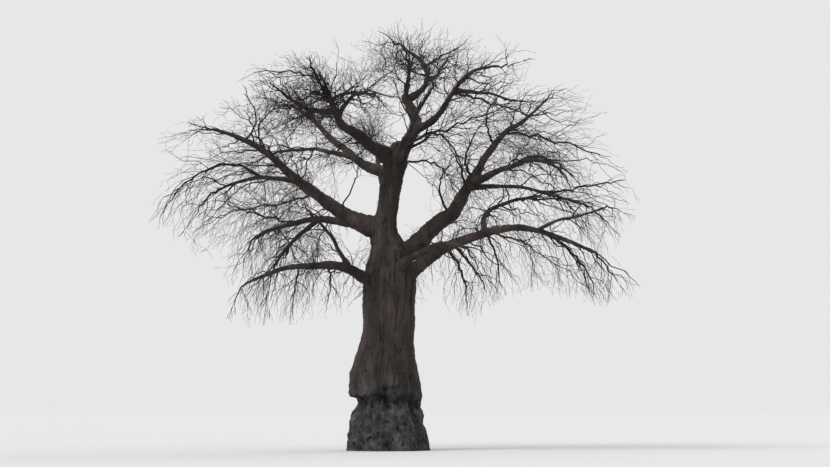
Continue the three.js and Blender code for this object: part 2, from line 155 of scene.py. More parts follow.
# Boughs: at is the height up the trunk, or the share along the bough that bears this one. leave and
# arrive are heading and climb at the root and at the tip. girth is the diameter at both. bow is how
# far the bough runs straight at its ends, as a share of its span.
BOW = 0.36
Bough = namedtuple("Bough", "name on at tip leave arrive girth bow", defaults=(BOW,))
BOUGHS = [Bough(*row) for row in [
    ("left_long", "trunk", 9.38, (-7.2, -1.5, 13.42), (187, 9), (190, 12), (0.78, 0.14)),
    ("left_back", "trunk", 9.25, (-5.75, 4.5, 9.6), (137, 19), (138, -15), (0.51, 0.14)),
    ("left_drooping", "trunk", 6.4, (-5.5, -5.2, 6.75), (219, 43), (228, -22), (0.6, 0.1), 0.37),
    ("right_great", "trunk", 7.85, (3.83, 0.8, 11.94), (3, 38), (16, 63), (0.96, 0.44)),
    ("right_low", "trunk", 6.7, (8.2, -3.2, 8.25), (337, 38), (339, -27), (0.64, 0.13), 0.45),
    ("left_upper_back", "trunk", 11.75, (-4.1, 5.0, 15.3), (145, 11), (134, 27), (0.47, 0.18)),
    ("left_front", "trunk", 12.3, (-2.3, -4.0, 14.3), (214, 28), (251, 44), (0.69, 0.22)),
    ("crown", "trunk", 12.5, (0.72, 0.8, 15.2), (8, 50), (150, 56), (0.64, 0.39), 0.5),
    ("back", "trunk", 9.7, (-0.64, 5.6, 13.55), (94, 33), (98, 35), (0.5, 0.14)),
    ("back_right", "trunk", 7.8, (3.9, 6.2, 12.4), (62, 26), (61, 48), (0.56, 0.14)),
    ("back_low", "trunk", 7.3, (0.25, 6.6, 8.65), (90, 20), (88, -8), (0.48, 0.13)),
    ("front_right", "trunk", 7.3, (3.0, -5.2, 8.2), (297, 22), (299, -14), (0.48, 0.13)),
    ("front_crown", "trunk", 12.2, (1.65, -5.0, 14.3), (281, 20), (288, 18), (0.4, 0.13)),
    ("left_long_side", "left_long", 0.5, (-6.8, -3.0, 10.78), (218, 8), (222, -27), (0.24, 0.115)),
    ("left_knotted", "left_back", 0.53, (-4.67, -0.8, 7.92), (246, -22), (256, -32), (0.24, 0.12)),
    ("left_cross", "left_drooping", 0.3, (-2.83, -3.2, 9.45), (228, 52), (225, 38), (0.22, 0.12)),
    ("left_upper_side", "left_upper_back", 0.34, (-4.97, 4.6, 13.35), (150, 18), (140, -2), (0.24, 0.125)),
    ("front_knot_left", "left_front", 0.88, (-4.1, -5.3, 14.32), (218, -12), (228, 28), (0.26, 0.12)),
    ("front_knot_up", "left_front", 0.82, (-2.95, -4.6, 15.4), (205, 62), (233, 50), (0.2, 0.11)),
    ("front_knot_right", "left_front", 0.8, (-0.63, -6.2, 14.17), (285, 28), (304, -16), (0.21, 0.11)),
    ("crown_right", "crown", 0.46, (4.05, -3.0, 15.8), (330, 4), (322, -5), (0.33, 0.125)),
    ("crown_left", "crown", 0.94, (0.86, -2.2, 16.2), (258, 40), (256, 18), (0.2, 0.11)),
    ("crown_top", "crown", 0.95, (0.93, 1.6, 17.33), (17, 30), (162, 32), (0.35, 0.13), 0.6),
    ("crown_back", "crown_top", 0.45, (2.56, 4.8, 17.5), (70, 10), (74, 24), (0.19, 0.115)),
    ("crown_right_side", "crown_right", 0.6, (5.0, 1.5, 15.3), (52, -2), (50, -9), (0.19, 0.105)),
    ("right_upper_front", "right_great", 0.9, (6.7, -4.0, 11.65), (306, 5), (302, -22), (0.33, 0.14)),
    ("right_middle", "right_great", 0.84, (8.1, -0.8, 10.42), (345, 12), (342, -19), (0.22, 0.105)),
    ("right_upper_back", "right_great", 1, (7.05, 4.8, 15.7), (70, 50), (52, 38), (0.37, 0.1)),
    ("right_low_riser", "right_low", 0.53, (6.45, 2.6, 11.1), (118, 42), (55, 12), (0.23, 0.115)),
    ("right_low_side", "right_low", 0.76, (8.54, -5.2, 9.69), (308, 22), (308, 12), (0.15, 0.09)),
]]
# Lesser limbs within the masses' reach: the limb that bears each, the place on it, a middle point and
# the tip, girths, and the bough whose mass it belongs to where that isn't the one that bears it.
Lesser = namedtuple("Lesser", "on at middle tip girth mass", defaults=("",))
LESSER_LIMBS = [Lesser(*row) for row in [
    ("left_long_side", 0.49, (-7.2, -2.2, 11.75), (-9.2, -2.8, 10.0), (0.13, 0.05)),
    ("left_long", 0.85, (-5.6, -0.9, 14.1), (-6.2, -0.5, 15.2), (0.09, 0.04)),
    ("left_long", 0.73, (-5.4, -1.7, 13.6), (-4.3, -2.3, 14.4), (0.1, 0.04)),
    ("left_long", 0.39, (-4.65, 0.25, 10.55), (-7.0, 1.0, 10.2), (0.12, 0.05), "left_long_side"),
    ("left_long", 0.25, (-1.45, -0.8, 11.3), (-1.25, -1.2, 12.0), (0.08, 0.03)),
    ("left_back", 0.59, (-5.05, 3.1, 10.15), (-6.75, 3.5, 10.7), (0.11, 0.05)),
    ("crown", 1.0, (0.9, 0.5, 15.95), (0.9, 0.2, 17.1), (0.18, 0.06), "crown_left"),
    ("crown_top", 0.65, (2.05, 1.7, 17.05), (3.2, 2.1, 17.7), (0.12, 0.05)),
    ("crown_right", 0.56, (4.3, -1.9, 14.55), (6.0, -2.3, 13.9), (0.12, 0.05)),
    ("trunk", 12.5, (2.05, -0.45, 13.4), (3.2, -0.9, 11.8), (0.16, 0.05), "crown_right"),
    ("trunk", 12.6, (2.45, 0.75, 13.8), (4.4, 1.5, 14.6), (0.14, 0.05), "crown_right_side"),
    ("trunk", 12.2, (1.8, 0.3, 12.3), (2.65, 0.6, 11.6), (0.12, 0.05), "crown_right_side"),
    ("right_great", 0.6, (2.2, -0.05, 11.05), (2.55, -0.4, 12.0), (0.13, 0.04), "right_middle"),
    ("right_great", 0.81, (3.2, 1.1, 12.0), (2.75, 1.6, 13.0), (0.14, 0.05), "right_upper_back"),
    ("right_great", 0.96, (3.3, 0.25, 12.4), (3.85, -0.25, 13.7), (0.14, 0.05), "right_upper_back"),
    ("right_upper_back", 0.39, (6.9, 2.2, 13.6), (9.6, 2.4, 12.8), (0.13, 0.05)),
    ("right_upper_back", 0.24, (4.3, 1.7, 14.45), (4.9, 2.1, 15.5), (0.11, 0.04)),
    ("right_upper_front", 0.6, (6.55, -2.35, 12.15), (7.9, -2.6, 11.1), (0.19, 0.06)),
    ("right_middle", 0.7, (8.65, 0.15, 11.25), (10.3, 0.65, 11.6), (0.11, 0.04)),
    ("right_low", 0.8, (7.85, -2.15, 8.0), (8.6, -1.7, 6.85), (0.16, 0.05)),
    ("right_low_riser", 0.39, (6.25, -0.35, 10.7), (8.55, -0.85, 10.4), (0.12, 0.05)),
    ("right_low", 0.53, (5.55, -1.2, 8.75), (7.1, -0.8, 7.75), (0.11, 0.04)),
    ("right_low", 0.34, (3.1, -1.25, 7.45), (3.3, -1.55, 6.25), (0.16, 0.05)),
    ("right_low", 0.37, (3.65, -0.65, 7.65), (4.15, -0.25, 6.7), (0.14, 0.05)),
    ("right_low", 0.53, (4.5, -1.85, 8.05), (4.65, -2.1, 7.0), (0.12, 0.05)),
    ("front_knot_up", 0.74, (-3.7, -3.95, 15.45), (-5.6, -3.7, 15.5), (0.1, 0.04)),
    ("left_front", 1.0, (-1.25, -3.7, 14.7), (0.05, -3.4, 14.55), (0.15, 0.05)),
    ("left_drooping", 0.64, (-3.75, -2.9, 6.8), (-3.9, -2.65, 5.7), (0.1, 0.04)),
    ("left_drooping", 0.47, (-2.35, -2.1, 7.05), (-2.5, -1.9, 6.05), (0.1, 0.04)),
]]
# Knots, where many shoots leave a limb in one place: the limb, the place on it, how many and how long.
Knot = namedtuple("Knot", "on at count reach")
KNOTS = [Knot(*row) for row in [
    ("left_front", 0.97, 12, 3.2), ("front_knot_left", 0.45, 10, 2.6), ("front_knot_up", 0.4, 9, 2.4),
    ("front_knot_right", 0.4, 6, 2.4), ("left_knotted", 0.62, 12, 1.9), ("left_back", 0.5, 6, 1.8),
    ("crown_left", 0.75, 12, 2.8), ("crown_top", 0.5, 9, 2.4), ("left_long", 0.5, 5, 1.4),
    ("left_long", 0.62, 5, 1.4), ("left_long", 0.3, 5, 1.6), ("left_front", 0.35, 7, 2.2),
    ("left_drooping", 0.12, 7, 1.5), ("left_drooping", 0.27, 9, 1.9), ("right_low_riser", 0.3, 7, 1.8),
    ("left_drooping", 0.55, 6, 1.4), ("left_upper_back", 0.8, 6, 2.0),
]]
# The length of a bough for each ring of its coarse line, and the fewest rings.
RING_STEP = 0.85
LEAST_RINGS = 5
# The swelling at a bough's root, as shares of its girth and of its length.
FLARE = 0.3
FLARE_RUN = 0.16
# How soon a bough grows thin: 1 is evenly from root to tip, and less is nearer the root.
TAPER = 0.8
# The meander of a bough, as a share of its mean girth, its waves on the three axes and their shift.
MEANDER = 0.18
MEANDER_WAVES = np.array([9, 11, 13])
MEANDER_PHASE = 6

# Masses of twigs at the boughs' tips. length runs ahead of the tip, width across and height upright.
# hang is 1 where twigs weep and -1 where they rise.
Mass = namedtuple("Mass", "bough length width height hang")
MASSES = [Mass(*row) for row in [
    ("left_long", 3.5, 4.0, 3.3, 0), ("left_back", 3.7, 4.0, 3.9, 0.45),
    ("left_drooping", 2.3, 3.2, 3.0, 0.8), ("right_low", 3.8, 3.5, 3.7, 0.6),
    ("left_upper_back", 3.3, 4.3, 3.4, 0.25), ("left_front", 2.6, 3.6, 3.2, 0),
    ("back", 3.6, 3.6, 3.2, 0), ("back_right", 3.6, 4.0, 3.8, 0.1),
    ("back_low", 3.5, 2.5, 3.9, 0.7), ("front_right", 3.3, 3.3, 4.5, 0.85),
    ("front_crown", 3.2, 3.6, 3.2, -0.1), ("left_long_side", 3.9, 3.8, 3.8, 0.4),
    ("left_knotted", 3.1, 3.7, 4.2, 0.75), ("left_cross", 2.8, 3.5, 3.3, 0),
    ("left_upper_side", 4.2, 4.0, 3.3, 0.2), ("front_knot_left", 3.5, 3.8, 3.2, 0.1),
    ("front_knot_up", 2.8, 3.5, 2.9, -0.2), ("front_knot_right", 3.2, 3.4, 3.0, -0.1),
    ("crown_right", 3.7, 3.7, 2.7, 0), ("crown_left", 3.0, 3.7, 2.9, -0.3),
    ("crown_top", 3.9, 4.0, 2.5, 0), ("crown_back", 3.3, 4.1, 2.9, -0.1),
    ("crown_right_side", 3.5, 3.5, 2.9, 0), ("right_upper_front", 3.9, 3.9, 3.3, 0.15),
    ("right_middle", 3.6, 3.8, 3.6, 0.35), ("right_upper_back", 3.7, 4.2, 3.4, 0),
    ("right_low_riser", 3.6, 3.8, 3.1, 0.1), ("right_low_side", 2.9, 3.4, 3.1, 0.3),
]]
# The rule that every mass grows by: a stem, twigs on the stem, then twigs on those, ever finer.
# share is the length as a share of the mass's length, or of the twig that bears it. girth is a share
# of that twig's too, up to thickest, and spread is the angle off it. steps are the stretches of a
# twig, crook is how they turn, sides how many go round it, and parts what each is drawn in. first and
# last are where twigs start and stop on the bearing one, and spacing is its length for each of them.
# play is the least and the greatest length, in usual ones. pull is how strongly a twig turns out of
# the crown, or down where the crown hangs.
Rule = namedtuple("Rule", "share steps girth spread crook first last sides parts spacing thickest play pull",
                  defaults=(0, 9, (0.75, 1.25), 0))
STEM = Rule(0.55, 3, (1, 1), (0, 0), 0.3, 0, 1, 8, 3)
STEM_TAPER = 0.5
TWIGS = [
    Rule(0.5, 2, (0.55, 0.7), (40, 75), 0.32, 0.1, 0.92, 6, 4),
    Rule(0.62, 1, (0.6, 0.75), (32, 66), 0, 0.25, 0.92, 5, 6),
]
# Shoots that stand along the outer part of a limb, then the finer twigs on everything.
SHOOTS = Rule(0.62, 4, (0.35, 0.5), (24, 66), 0.42, 0.32, 0.97, 5, 2, 0.3, 0.034, (0.2, 1.3), 0.78)
KNOT_SHOOTS = Rule(0.7, 4, (0.4, 0.6), (30, 100), 0.5, 0.2, 0.8, 5, 2, 0.3, 0.036, (0.4, 1.2), 0.45)
FINE_TWIGS = [
    Rule(0.6, 4, (0.5, 0.7), (18, 58), 0.5, 0.1, 0.95, 4, 1, 0.33, 0.018, (0.35, 1.3), 0.55),
    Rule(0.58, 4, (0.6, 0.8), (18, 56), 0.6, 0.12, 0.95, 3, 1, 0.27, 0.011, (0.4, 1.4), 0.45),
    Rule(0.55, 3, (0.7, 0.85), (18, 54), 0.7, 0.15, 0.9, 3, 1, 0.25, 0.0088, (0.5, 1.4), 0.4),
]
# The width of a mass for each twig on its stem, the twigs on such a twig, the fewest shoots on a limb,
# and how far a twig strays towards the next one's place.
TWIG_SPACING = 0.7
TWIGS_ON_TWIG = 3
LEAST_SHOOTS = 2
PLACE_PLAY = 0.7
# The last twig of each carries on from the end, nearly straight.
LEADER = Record(place=0.97, spread=0.25, girth=0.9)
# Degrees from each twig to the next round the one that bears them, the most that is drawn on top, and
# how much further round each next bearing twig starts.
GOLDEN_TURN = 137.5
TURN_PLAY = 50
QUARTER_TURN = 90
# The radius at the tip of a stem and of a drawn twig, and how slender the solids' twigs are drawn.
TWIG_TIP = 0.009
FINE_TIP = 0.0058
SLENDER = 0.62
# How much of a stem is drawn, and how far it bends.
STEM_SHOWN = 0.8
STEM_BEND = 0.25
# Lesser limbs: points, parts drawn between them, bends, and their share of the mass's hang.
LESSER = Record(points=8, parts=2, wander=0.8, hang=0.3)
# Where the shoots of a knot leave, on both sides of its place.
KNOT_PLACES = np.array([-0.03, 0, 0.03])
# Points on each twig as the finer twigs find it.
BEARING_POINTS = 9
# The gap from a bough's tip to what carries on from it, and the least room between a mass's twigs.
GAP = 0.0003
TWIG_ROOM = 0.006
# A twig that would leave its space or touch a limb is tried shorter, then skipped.
SHORTENED = (1, 0.72, 0.5)
# How strongly hanging twigs turn down.
HANG_PULL = 0.95
# The middle of a mass's space, ahead of the tip and below it, as shares of its length and height.
SPACE_AHEAD = 0.34
SPACE_DROP = 0.3
# Everything about a twig is drawn from its key: how far the keys of masses, levels, limbs, bearing
# twigs and twigs lie apart, where the keys of each kind start, and what is added for each draw.
SEEDS = Record(mass=1000, level=200, limb=50, bearer=20, twig=3, lesser=3, knot=31, shoots=7,
               knot_shoots=11, fine=611, bends=7, wander_point=7.7, wander_axis=0.37)
DRAW = Record(place=0.1, sky=0.2, spread=0.3, pull=0.35, turn=0.5, tint=0.6, play=0.7, count=0.8,
              girth=0.9, reach=0.9)

# Camera: 80 m off at eye height, tilted up to the crown. Degrees, and millimetres for the lens.
EYE = np.array([1.15, -80.0, 1.7])
TILT = 5.355
LENS = 81.67
SENSOR = 36.0
# Gaps in the crown, seen from the eye: middle X and Z on the trunk's plane, half width, half height,
# and the share of the finest twigs that stays in them.
SKY_GAPS = [(-1.19, 10.98, 0.8, 0.95), (1.2, 10.8, 0.6, 1.25), (0.5, 14.2, 0.4, 0.5)]
SKY_LEFT = 0.25
# Fuller and thinner places in the crown, seen so too, with how many times the usual twigs stand there.
FULLNESS = [
    (-2.9, 14.7, 1.6, 1.1, 1.7), (1.2, 16.2, 1.2, 0.8, 1.5), (5.0, 13.2, 1.1, 0.7, 1.4),
    (-3.1, 11.2, 1.5, 0.8, 2.4), (-3.1, 8.6, 1.1, 0.7, 2.6), (2.85, 9.4, 1.1, 0.7, 1.5),
    (4.3, 9.4, 0.7, 0.5, 1.6), (-1.0, 13.6, 0.7, 0.9, 2.0), (5.6, 13.2, 0.8, 0.7, 1.3),
    (6.0, 15.8, 1.5, 0.9, 0.35), (5.4, 14.9, 1.6, 0.9, 0.3), (8.2, 13.0, 1.0, 1.0, 0.6),
    (9.0, 10.9, 0.9, 1.3, 0.45), (7.4, 11.3, 1.6, 0.9, 0.45), (7.2, 8.7, 1.6, 0.9, 0.5),
    (3.5, 7.8, 1.3, 1.0, 0.3), (8.7, 7.1, 1.2, 0.7, 0.6), (2.4, 15.3, 1.0, 0.8, 0.6),
    (3.5, 12.4, 0.8, 0.8, 0.6), (1.9, 11.9, 0.7, 0.8, 1.4), (5.6, 10.6, 1.6, 0.6, 0.5),
    (-7.6, 10.0, 2.2, 0.9, 0.5), (-5.9, 8.8, 1.0, 0.8, 0.4), (-6.1, 6.8, 1.4, 0.9, 0.7),
    (-8.6, 12.0, 1.2, 1.4, 0.6), (3.5, 8.6, 0.6, 0.5, 0.4), (7.7, 10.2, 0.8, 0.6, 0.45),
    (3.2, 13.4, 1.0, 0.7, 0.6), (-1.2, 14.9, 1.0, 0.8, 0.55), (-3.9, 11.9, 0.9, 0.4, 0.5),
    (-6.3, 11.1, 1.1, 0.5, 0.55), (-7.2, 12.8, 0.9, 0.5, 0.5), (-5.0, 8.3, 0.8, 0.6, 0.6),
    (6.9, 14.3, 0.9, 0.8, 0.5),
]
# How far the crown reaches from its heart, seen from the eye on the trunk's plane: degrees up from
# the level towards +X, and the reach.
CROWN_HEART = np.array([0.51, 0.0, 10.64])
CROWN_REACH = np.array([
    (-180, 10.4), (-175, 10.5), (-170, 9.6), (-161, 8.6), (-154, 8.5), (-144, 8.8), (-136, 7.8),
    (-127, 6.6), (-115, 5.2), (-90, 4.6), (-79, 4.6), (-71, 5.3), (-60, 6.0), (-47, 5.9), (-36, 6.6),
    (-31, 8.2), (-27, 10.2), (-20, 11.5), (-14, 9.6), (0, 10.2), (12, 9.3), (28, 9.6), (39, 8.3),
    (50, 8.4), (61, 8.0), (72, 7.7), (92, 7.7), (103, 7.5), (117, 7.2), (133, 8.4), (145, 8.4),
    (156, 9.2), (163, 10.6), (166, 11.3), (170, 10.1), (180, 10.4),
])
# How far the small bends in a twig swing, in lengths of the stretches between them.
WANDER = 0.8
# How much more twigs turn sideways than up on their way out.
UMBRELLA = np.array([2.2, 2.2, 1.0])
# The height under which twigs hang, the one from which none droops, and how much less they turn out
# of the crown where they hang.
DROOP = (9.0, 15.5)
DROOP_FOLD = 0.7
# The share of the crown's reach that each spray keeps to, where the crown grows thinner towards its
# edge, and the share of the twigs that is missing there.
SPRAY_REACH = (0.83, 1.05)
EDGE_REACH = (0.7, 1.0)
EDGE_THINNING = 0.45

# Small maths

UP = np.array([0.0, 0.0, 1.0])
FRONT = np.array([0.0, -1.0, 0.0])
# How a key is scattered into a number that looks drawn.
MIX = Record(step=12.9898, shift=78.233, spread=43758.5453)
# Steeper directions than this are squared to the front, not to the way up.
STEEP = 0.9


def unit(vectors):
    return vectors / np.linalg.norm(vectors, axis=-1, keepdims=True)


def towards(heading, climb):
    heading, climb = math.radians(heading), math.radians(climb)
    level = math.cos(climb)
    return np.array([level * math.cos(heading), level * math.sin(heading), math.sin(climb)])


def chance(key):
    """A number from 0 to 1 that depends only on its key."""
    value = np.sin(key * MIX.step + MIX.shift) * MIX.spread
    return value - np.floor(value)


def blend(low, high, value):
    """0 up to low, 1 from high, and a smooth step between."""
    share = np.clip((value - low) / (high - low), 0, 1)
    return share * share * (3 - 2 * share)


def hump(offset, half_width):
    """1 where the offset is 0, and a smooth fall to 0 on both sides."""
    return np.exp(-(offset / half_width) ** 2)


def square_to(directions):
    other = np.where(np.abs(directions[:, 2:]) < STEEP, UP, FRONT)
    return unit(np.cross(directions, other))


def point_on(lines, places):
    """The point at a share of each line, and the direction of the line there."""
    at = places * (lines.shape[1] - 1)
    below = np.minimum(at.astype(int), lines.shape[1] - 2)
    each = np.arange(len(lines))
    start, end = lines[each, below], lines[each, below + 1]
    return start + (end - start) * (at - below)[:, None], unit(end - start)


# Limbs. Each has a coarse line, as the solids have it, and a smooth one for the bark.

# The length of a bough for each ring of its smooth line, the points of the trunk's, and the points
# that a bough's curve is measured by.
BARK_STEP = 0.25
TRUNK_STEPS = 60
CURVE_STEPS = 201


def trunk_at(height):
    """The middle of the trunk and its mean radius at heights."""
    rows = TRUNK_OUTLINE.T
    shift = np.interp(height, rows[0], rows[2])
    middle = np.stack([shift, np.zeros_like(shift), height], axis=-1)
    return middle, np.interp(height, rows[0], rows[1]) / 2


def trunk_limb():
    heights = TRUNK_OUTLINE[:, 0]
    points, radii = trunk_at(heights)
    smooth_points, smooth_radii = trunk_at(np.linspace(0, heights[-1], TRUNK_STEPS))
    return Record(name="trunk", points=points, radii=radii, smooth_points=smooth_points,
                  smooth_radii=smooth_radii)


def root_on(bearer, line, at):
    """Where a limb leaves the one that bears it."""
    if bearer.name == "trunk":
        return trunk_at(np.array(at))[0]
    return point_on(line[None], np.array([at]))[0][0]


def bough_limb(bough, order, limbs):
    """A bough along one smooth curve from root to tip, with a slight meander."""
    ending = towards(*bough.arrive)
    tip = np.array(bough.tip)
    onwards = bough.at == 1
    bearer = limbs[bough.on]
    leave = bearer.ending if onwards else towards(*bough.leave)
    root = root_on(bearer, bearer.points, bough.at) + leave * (GAP if onwards else 0)
    pull = bough.bow * np.linalg.norm(root - tip)
    handles = np.array([root, root + leave * pull, tip - ending * pull, tip])

    def curve(t):
        t = t[:, None]
        weights = np.hstack([(1 - t) ** 3, 3 * t * (1 - t) ** 2, 3 * t ** 2 * (1 - t), t ** 3])
        return weights @ handles

    steps = np.linspace(0, 1, CURVE_STEPS)
    lengths = np.append(0, np.cumsum(np.linalg.norm(np.diff(curve(steps), axis=0), axis=1)))
    sway = MEANDER * sum(bough.girth) / 2
    phase = MEANDER_PHASE * chance(order)

    def line(count):
        share = np.linspace(0, 1, count + 1)
        turns = np.sin(MEANDER_WAVES * share[:, None] + np.arange(1, 4) * phase)
        points = curve(np.interp(share * lengths[-1], lengths, steps))
        return points + turns * sway * np.sin(math.pi * share[:, None]) ** 2

    def radii(count):
        share = np.linspace(0, 1, count + 1)
        flare = 0 if onwards else FLARE * bough.girth[0] * hump(share, FLARE_RUN)
        return (bough.girth[0] + (bough.girth[1] - bough.girth[0]) * share ** TAPER + flare) / 2

    rings = max(LEAST_RINGS, round(lengths[-1] / RING_STEP))
    smooth = max(LEAST_RINGS, round(lengths[-1] / BARK_STEP))
    return Record(name=bough.name, points=line(rings), radii=radii(rings), ending=ending,
                  length=lengths[-1], smooth_points=line(smooth), smooth_radii=radii(smooth))


# Bark: tubes along the limbs are joined and remeshed into one skin, which melts together at the
# crotches, takes its relief, and is cut into pieces that meet face to face.

# Sides of the tubes, how far the trunk's starts under the ground, the weights that even out its rings,
# and the cells of the remeshed skin.
BARK_SIDES = 20
TRUNK_SIDES = 64
UNDER_GROUND = 0.3
EVEN_OUT = [0.25, 0.5, 0.25]
SKIN_VOXEL = 0.031
# Only places this near a limb's box are measured. Others count as far off it.
NEAR_LIMB = 1
FAR_OFF = 9.0
# How near a second limb the skin melts, in how many levels, and the rounds of each smoothing.
MELT_REACH = 0.42
MELT_LEVELS = 10
ROUNDS = Record(melt=90, settle=12, even=3)


def deselect():
    bpy.ops.object.select_all(action="DESELECT")


def activate(piece):
    deselect()
    piece.select_set(True)
    bpy.context.view_layer.objects.active = piece


def turn_frame(axis):
    return Vector(axis).to_track_quat("Z", "Y").to_matrix()


def draw_tube(points, radii, sides, directions):
    """A tube extruded ring by ring along a line of points, each ring square to its direction."""
    deselect()
    bpy.ops.mesh.primitive_circle_add(
        vertices=sides, radius=radii[0], fill_type="NGON", location=points[0],
        rotation=turn_frame(directions[0]).to_euler())
    bpy.ops.object.mode_set(mode="EDIT")
    bpy.ops.mesh.select_all(action="SELECT")
    for index in range(1, len(points)):
        step = points[index] - points[index - 1]
        bpy.ops.mesh.extrude_region_move(TRANSFORM_OT_translate={"value": step})
        before, after = Vector(directions[index - 1]), Vector(directions[index])
        if before.angle(after) > 0:
            bpy.ops.transform.rotate(
                value=-before.angle(after), orient_axis="Z", center_override=points[index],
                orient_matrix=turn_frame(before.cross(after)))
        wider = radii[index] / radii[index - 1]
        bpy.ops.transform.resize(value=(wider, wider, wider), center_override=points[index])
    bpy.ops.object.mode_set(mode="OBJECT")
    bpy.ops.object.transform_apply(location=True, rotation=True, scale=True)
    return bpy.context.object


def draw_bough(limb):
    chords = unit(np.diff(limb.smooth_points, axis=0))
    directions = unit(np.vstack([chords[:1], chords[1:] + chords[:-1], chords[-1:]]))
    return draw_tube(limb.smooth_points, limb.smooth_radii, BARK_SIDES, directions)


def draw_trunk():
    """The trunk of level rings, from under the ground up, its outline evened out."""
    heights = np.append(-UNDER_GROUND, np.arange(0, TRUNK_OUTLINE[-1, 0], BARK_STEP / 2))
    middles, radii = trunk_at(np.maximum(heights, 0))
    middles[:, 2] = heights
    middles[:, 0] = np.convolve(np.pad(middles[:, 0], 1, mode="edge"), EVEN_OUT, mode="valid")
    radii = np.convolve(np.pad(radii, 1, mode="edge"), EVEN_OUT, mode="valid")
    return draw_tube(middles, radii, TRUNK_SIDES, np.tile(UP, (len(heights), 1)))


def apply_modifier(piece, kind, name, **settings):
    modifier = piece.modifiers.new(name, kind)
    for setting, value in settings.items():
        setattr(modifier, setting, value)
    activate(piece)
    bpy.ops.object.modifier_apply(modifier=name)


def smooth_out(piece, name, rounds, group=""):
    apply_modifier(piece, "SMOOTH", name, factor=0.5, iterations=rounds, vertex_group=group)


def vectors_of(data, field):
    values = np.empty(3 * len(data), dtype=np.float32)
    data.foreach_get(field, values)
    return values.reshape(-1, 3).astype(float)


def places_of(piece):
    return vectors_of(piece.data.vertices, "co")


def move_out(piece, directions, steps):
    places = places_of(piece) + directions * steps[:, None]
    piece.data.vertices.foreach_set("co", places.astype(np.float32).ravel())
    piece.data.update()


def swell(piece, steps):
    move_out(piece, vectors_of(piece.data.vertex_normals, "vector"), steps)


def limb_gaps(places, limbs):
    """How far each place lies off each limb's surface, and its distance along the limb from the root."""
    gaps = np.full((len(limbs), len(places)), FAR_OFF)
    along = np.zeros((len(limbs), len(places)))
    for row, limb in enumerate(limbs):
        points, radii = limb.smooth_points, limb.smooth_radii
        room = radii.max() + NEAR_LIMB
        low, high = points.min(axis=0) - room, points.max(axis=0) + room
        near = np.flatnonzero(np.all((places > low) & (places < high), axis=1))
        run = 0
        for index, (start, end) in enumerate(zip(points[:-1], points[1:])):
            step = np.linalg.norm(end - start)
            share = np.clip((places[near] - start) @ (end - start) / step ** 2, 0, 1)
            radius = radii[index] + share * (radii[index + 1] - radii[index])
            gap = np.linalg.norm(places[near] - start - share[:, None] * (end - start), axis=1) - radius
            closer = gap < gaps[row, near]
            gaps[row, near[closer]] = gap[closer]
            along[row, near[closer]] = run + share[closer] * step
            run += step
    return gaps, along


def bark_skin(limbs):
    """All limbs, the trunk first, as one skin that is melted together where two of them meet."""
    tubes = [draw_trunk()] + [draw_bough(limb) for limb in limbs[1:]]
    deselect()
    for tube in tubes:
        tube.select_set(True)
    skin = tubes[0]
    bpy.context.view_layer.objects.active = skin
    bpy.ops.object.join()
    apply_modifier(skin, "REMESH", "skin", mode="VOXEL", voxel_size=SKIN_VOXEL, use_smooth_shade=True)
    gaps = np.sort(limb_gaps(places_of(skin), limbs)[0], axis=0)
    crotch = skin.vertex_groups.new(name="crotch")
    weight = 1 - blend(MELT_REACH / 2, MELT_REACH, gaps[1])
    for level in range(1, MELT_LEVELS + 1):
        at_level = np.flatnonzero(np.ceil(weight * MELT_LEVELS) == level)
        crotch.add(at_level.tolist(), level / MELT_LEVELS, "REPLACE")
    smooth_out(skin, "melt", ROUNDS.melt, "crotch")
    # Melting also thins the limbs, so what sank under a limb's surface goes back out to it.
    swell(skin, np.maximum(-limb_gaps(places_of(skin), limbs)[0].min(axis=0), 0))
    smooth_out(skin, "settle", ROUNDS.settle, "crotch")
    smooth_out(skin, "even", ROUNDS.even)
    skin.vertex_groups.clear()
    return skin


# Bark relief. It fades out where the boughs leave, between these shares of the trunk's radius.
TRUNK_REACH = (1.15, 1.5)
# The worn band round the foot: where it starts, how far it ends below the lip, its depth, the least
# share of that round the trunk, and the heading where it is deepest.
WORN = Record(foot=1.3, below_lip=0.2, depth=0.27, least=0.05, heading=190)
# The lip of bark over it, ragged by these depths and waves, and stretches from the lip up where the
# band ends and where the foot's rough bark does.
LIP_HEIGHT = 2.25
LIP_PLAY = [(0.22, 1.9), (0.066, 9)]
LIP_EDGE = (-0.04, 0.05)
ROUGH_EDGE = (-0.1, 0.3)
# The roll on the lip and the groove close under it, which is also painted dark as the shadow under the lip: height over
# the lip, half height, depth.
LIP_ROLL = (0.15, 0.12, -0.04)
LIP_GROOVE = (-0.24, 0.2, 0.04)
# Hollows and bulges in the foot: heading, height, half width, half height, depth (out where negative).
FOOT_MARKS = [
    (258, 2.36, 0.16, 0.26, 0.10), (272, 2.55, 0.20, 0.13, 0.09), (287, 2.60, 0.24, 0.12, 0.10),
    (281, 2.22, 0.42, 0.20, 0.08), (303, 2.25, 0.22, 0.32, 0.10), (246, 1.30, 0.10, 0.70, 0.13),
    (259, 1.20, 0.09, 0.62, 0.12), (281, 1.15, 0.40, 0.60, -0.09), (225, 1.75, 0.22, 0.35, 0.08),
    (318, 1.50, 0.16, 0.60, 0.07), (332, 0.90, 0.30, 0.50, -0.06), (20, 2.00, 0.35, 0.45, 0.10),
    (75, 1.50, 0.12, 0.60, 0.08), (110, 2.20, 0.40, 0.30, 0.12), (150, 1.30, 0.15, 0.55, 0.08),
]
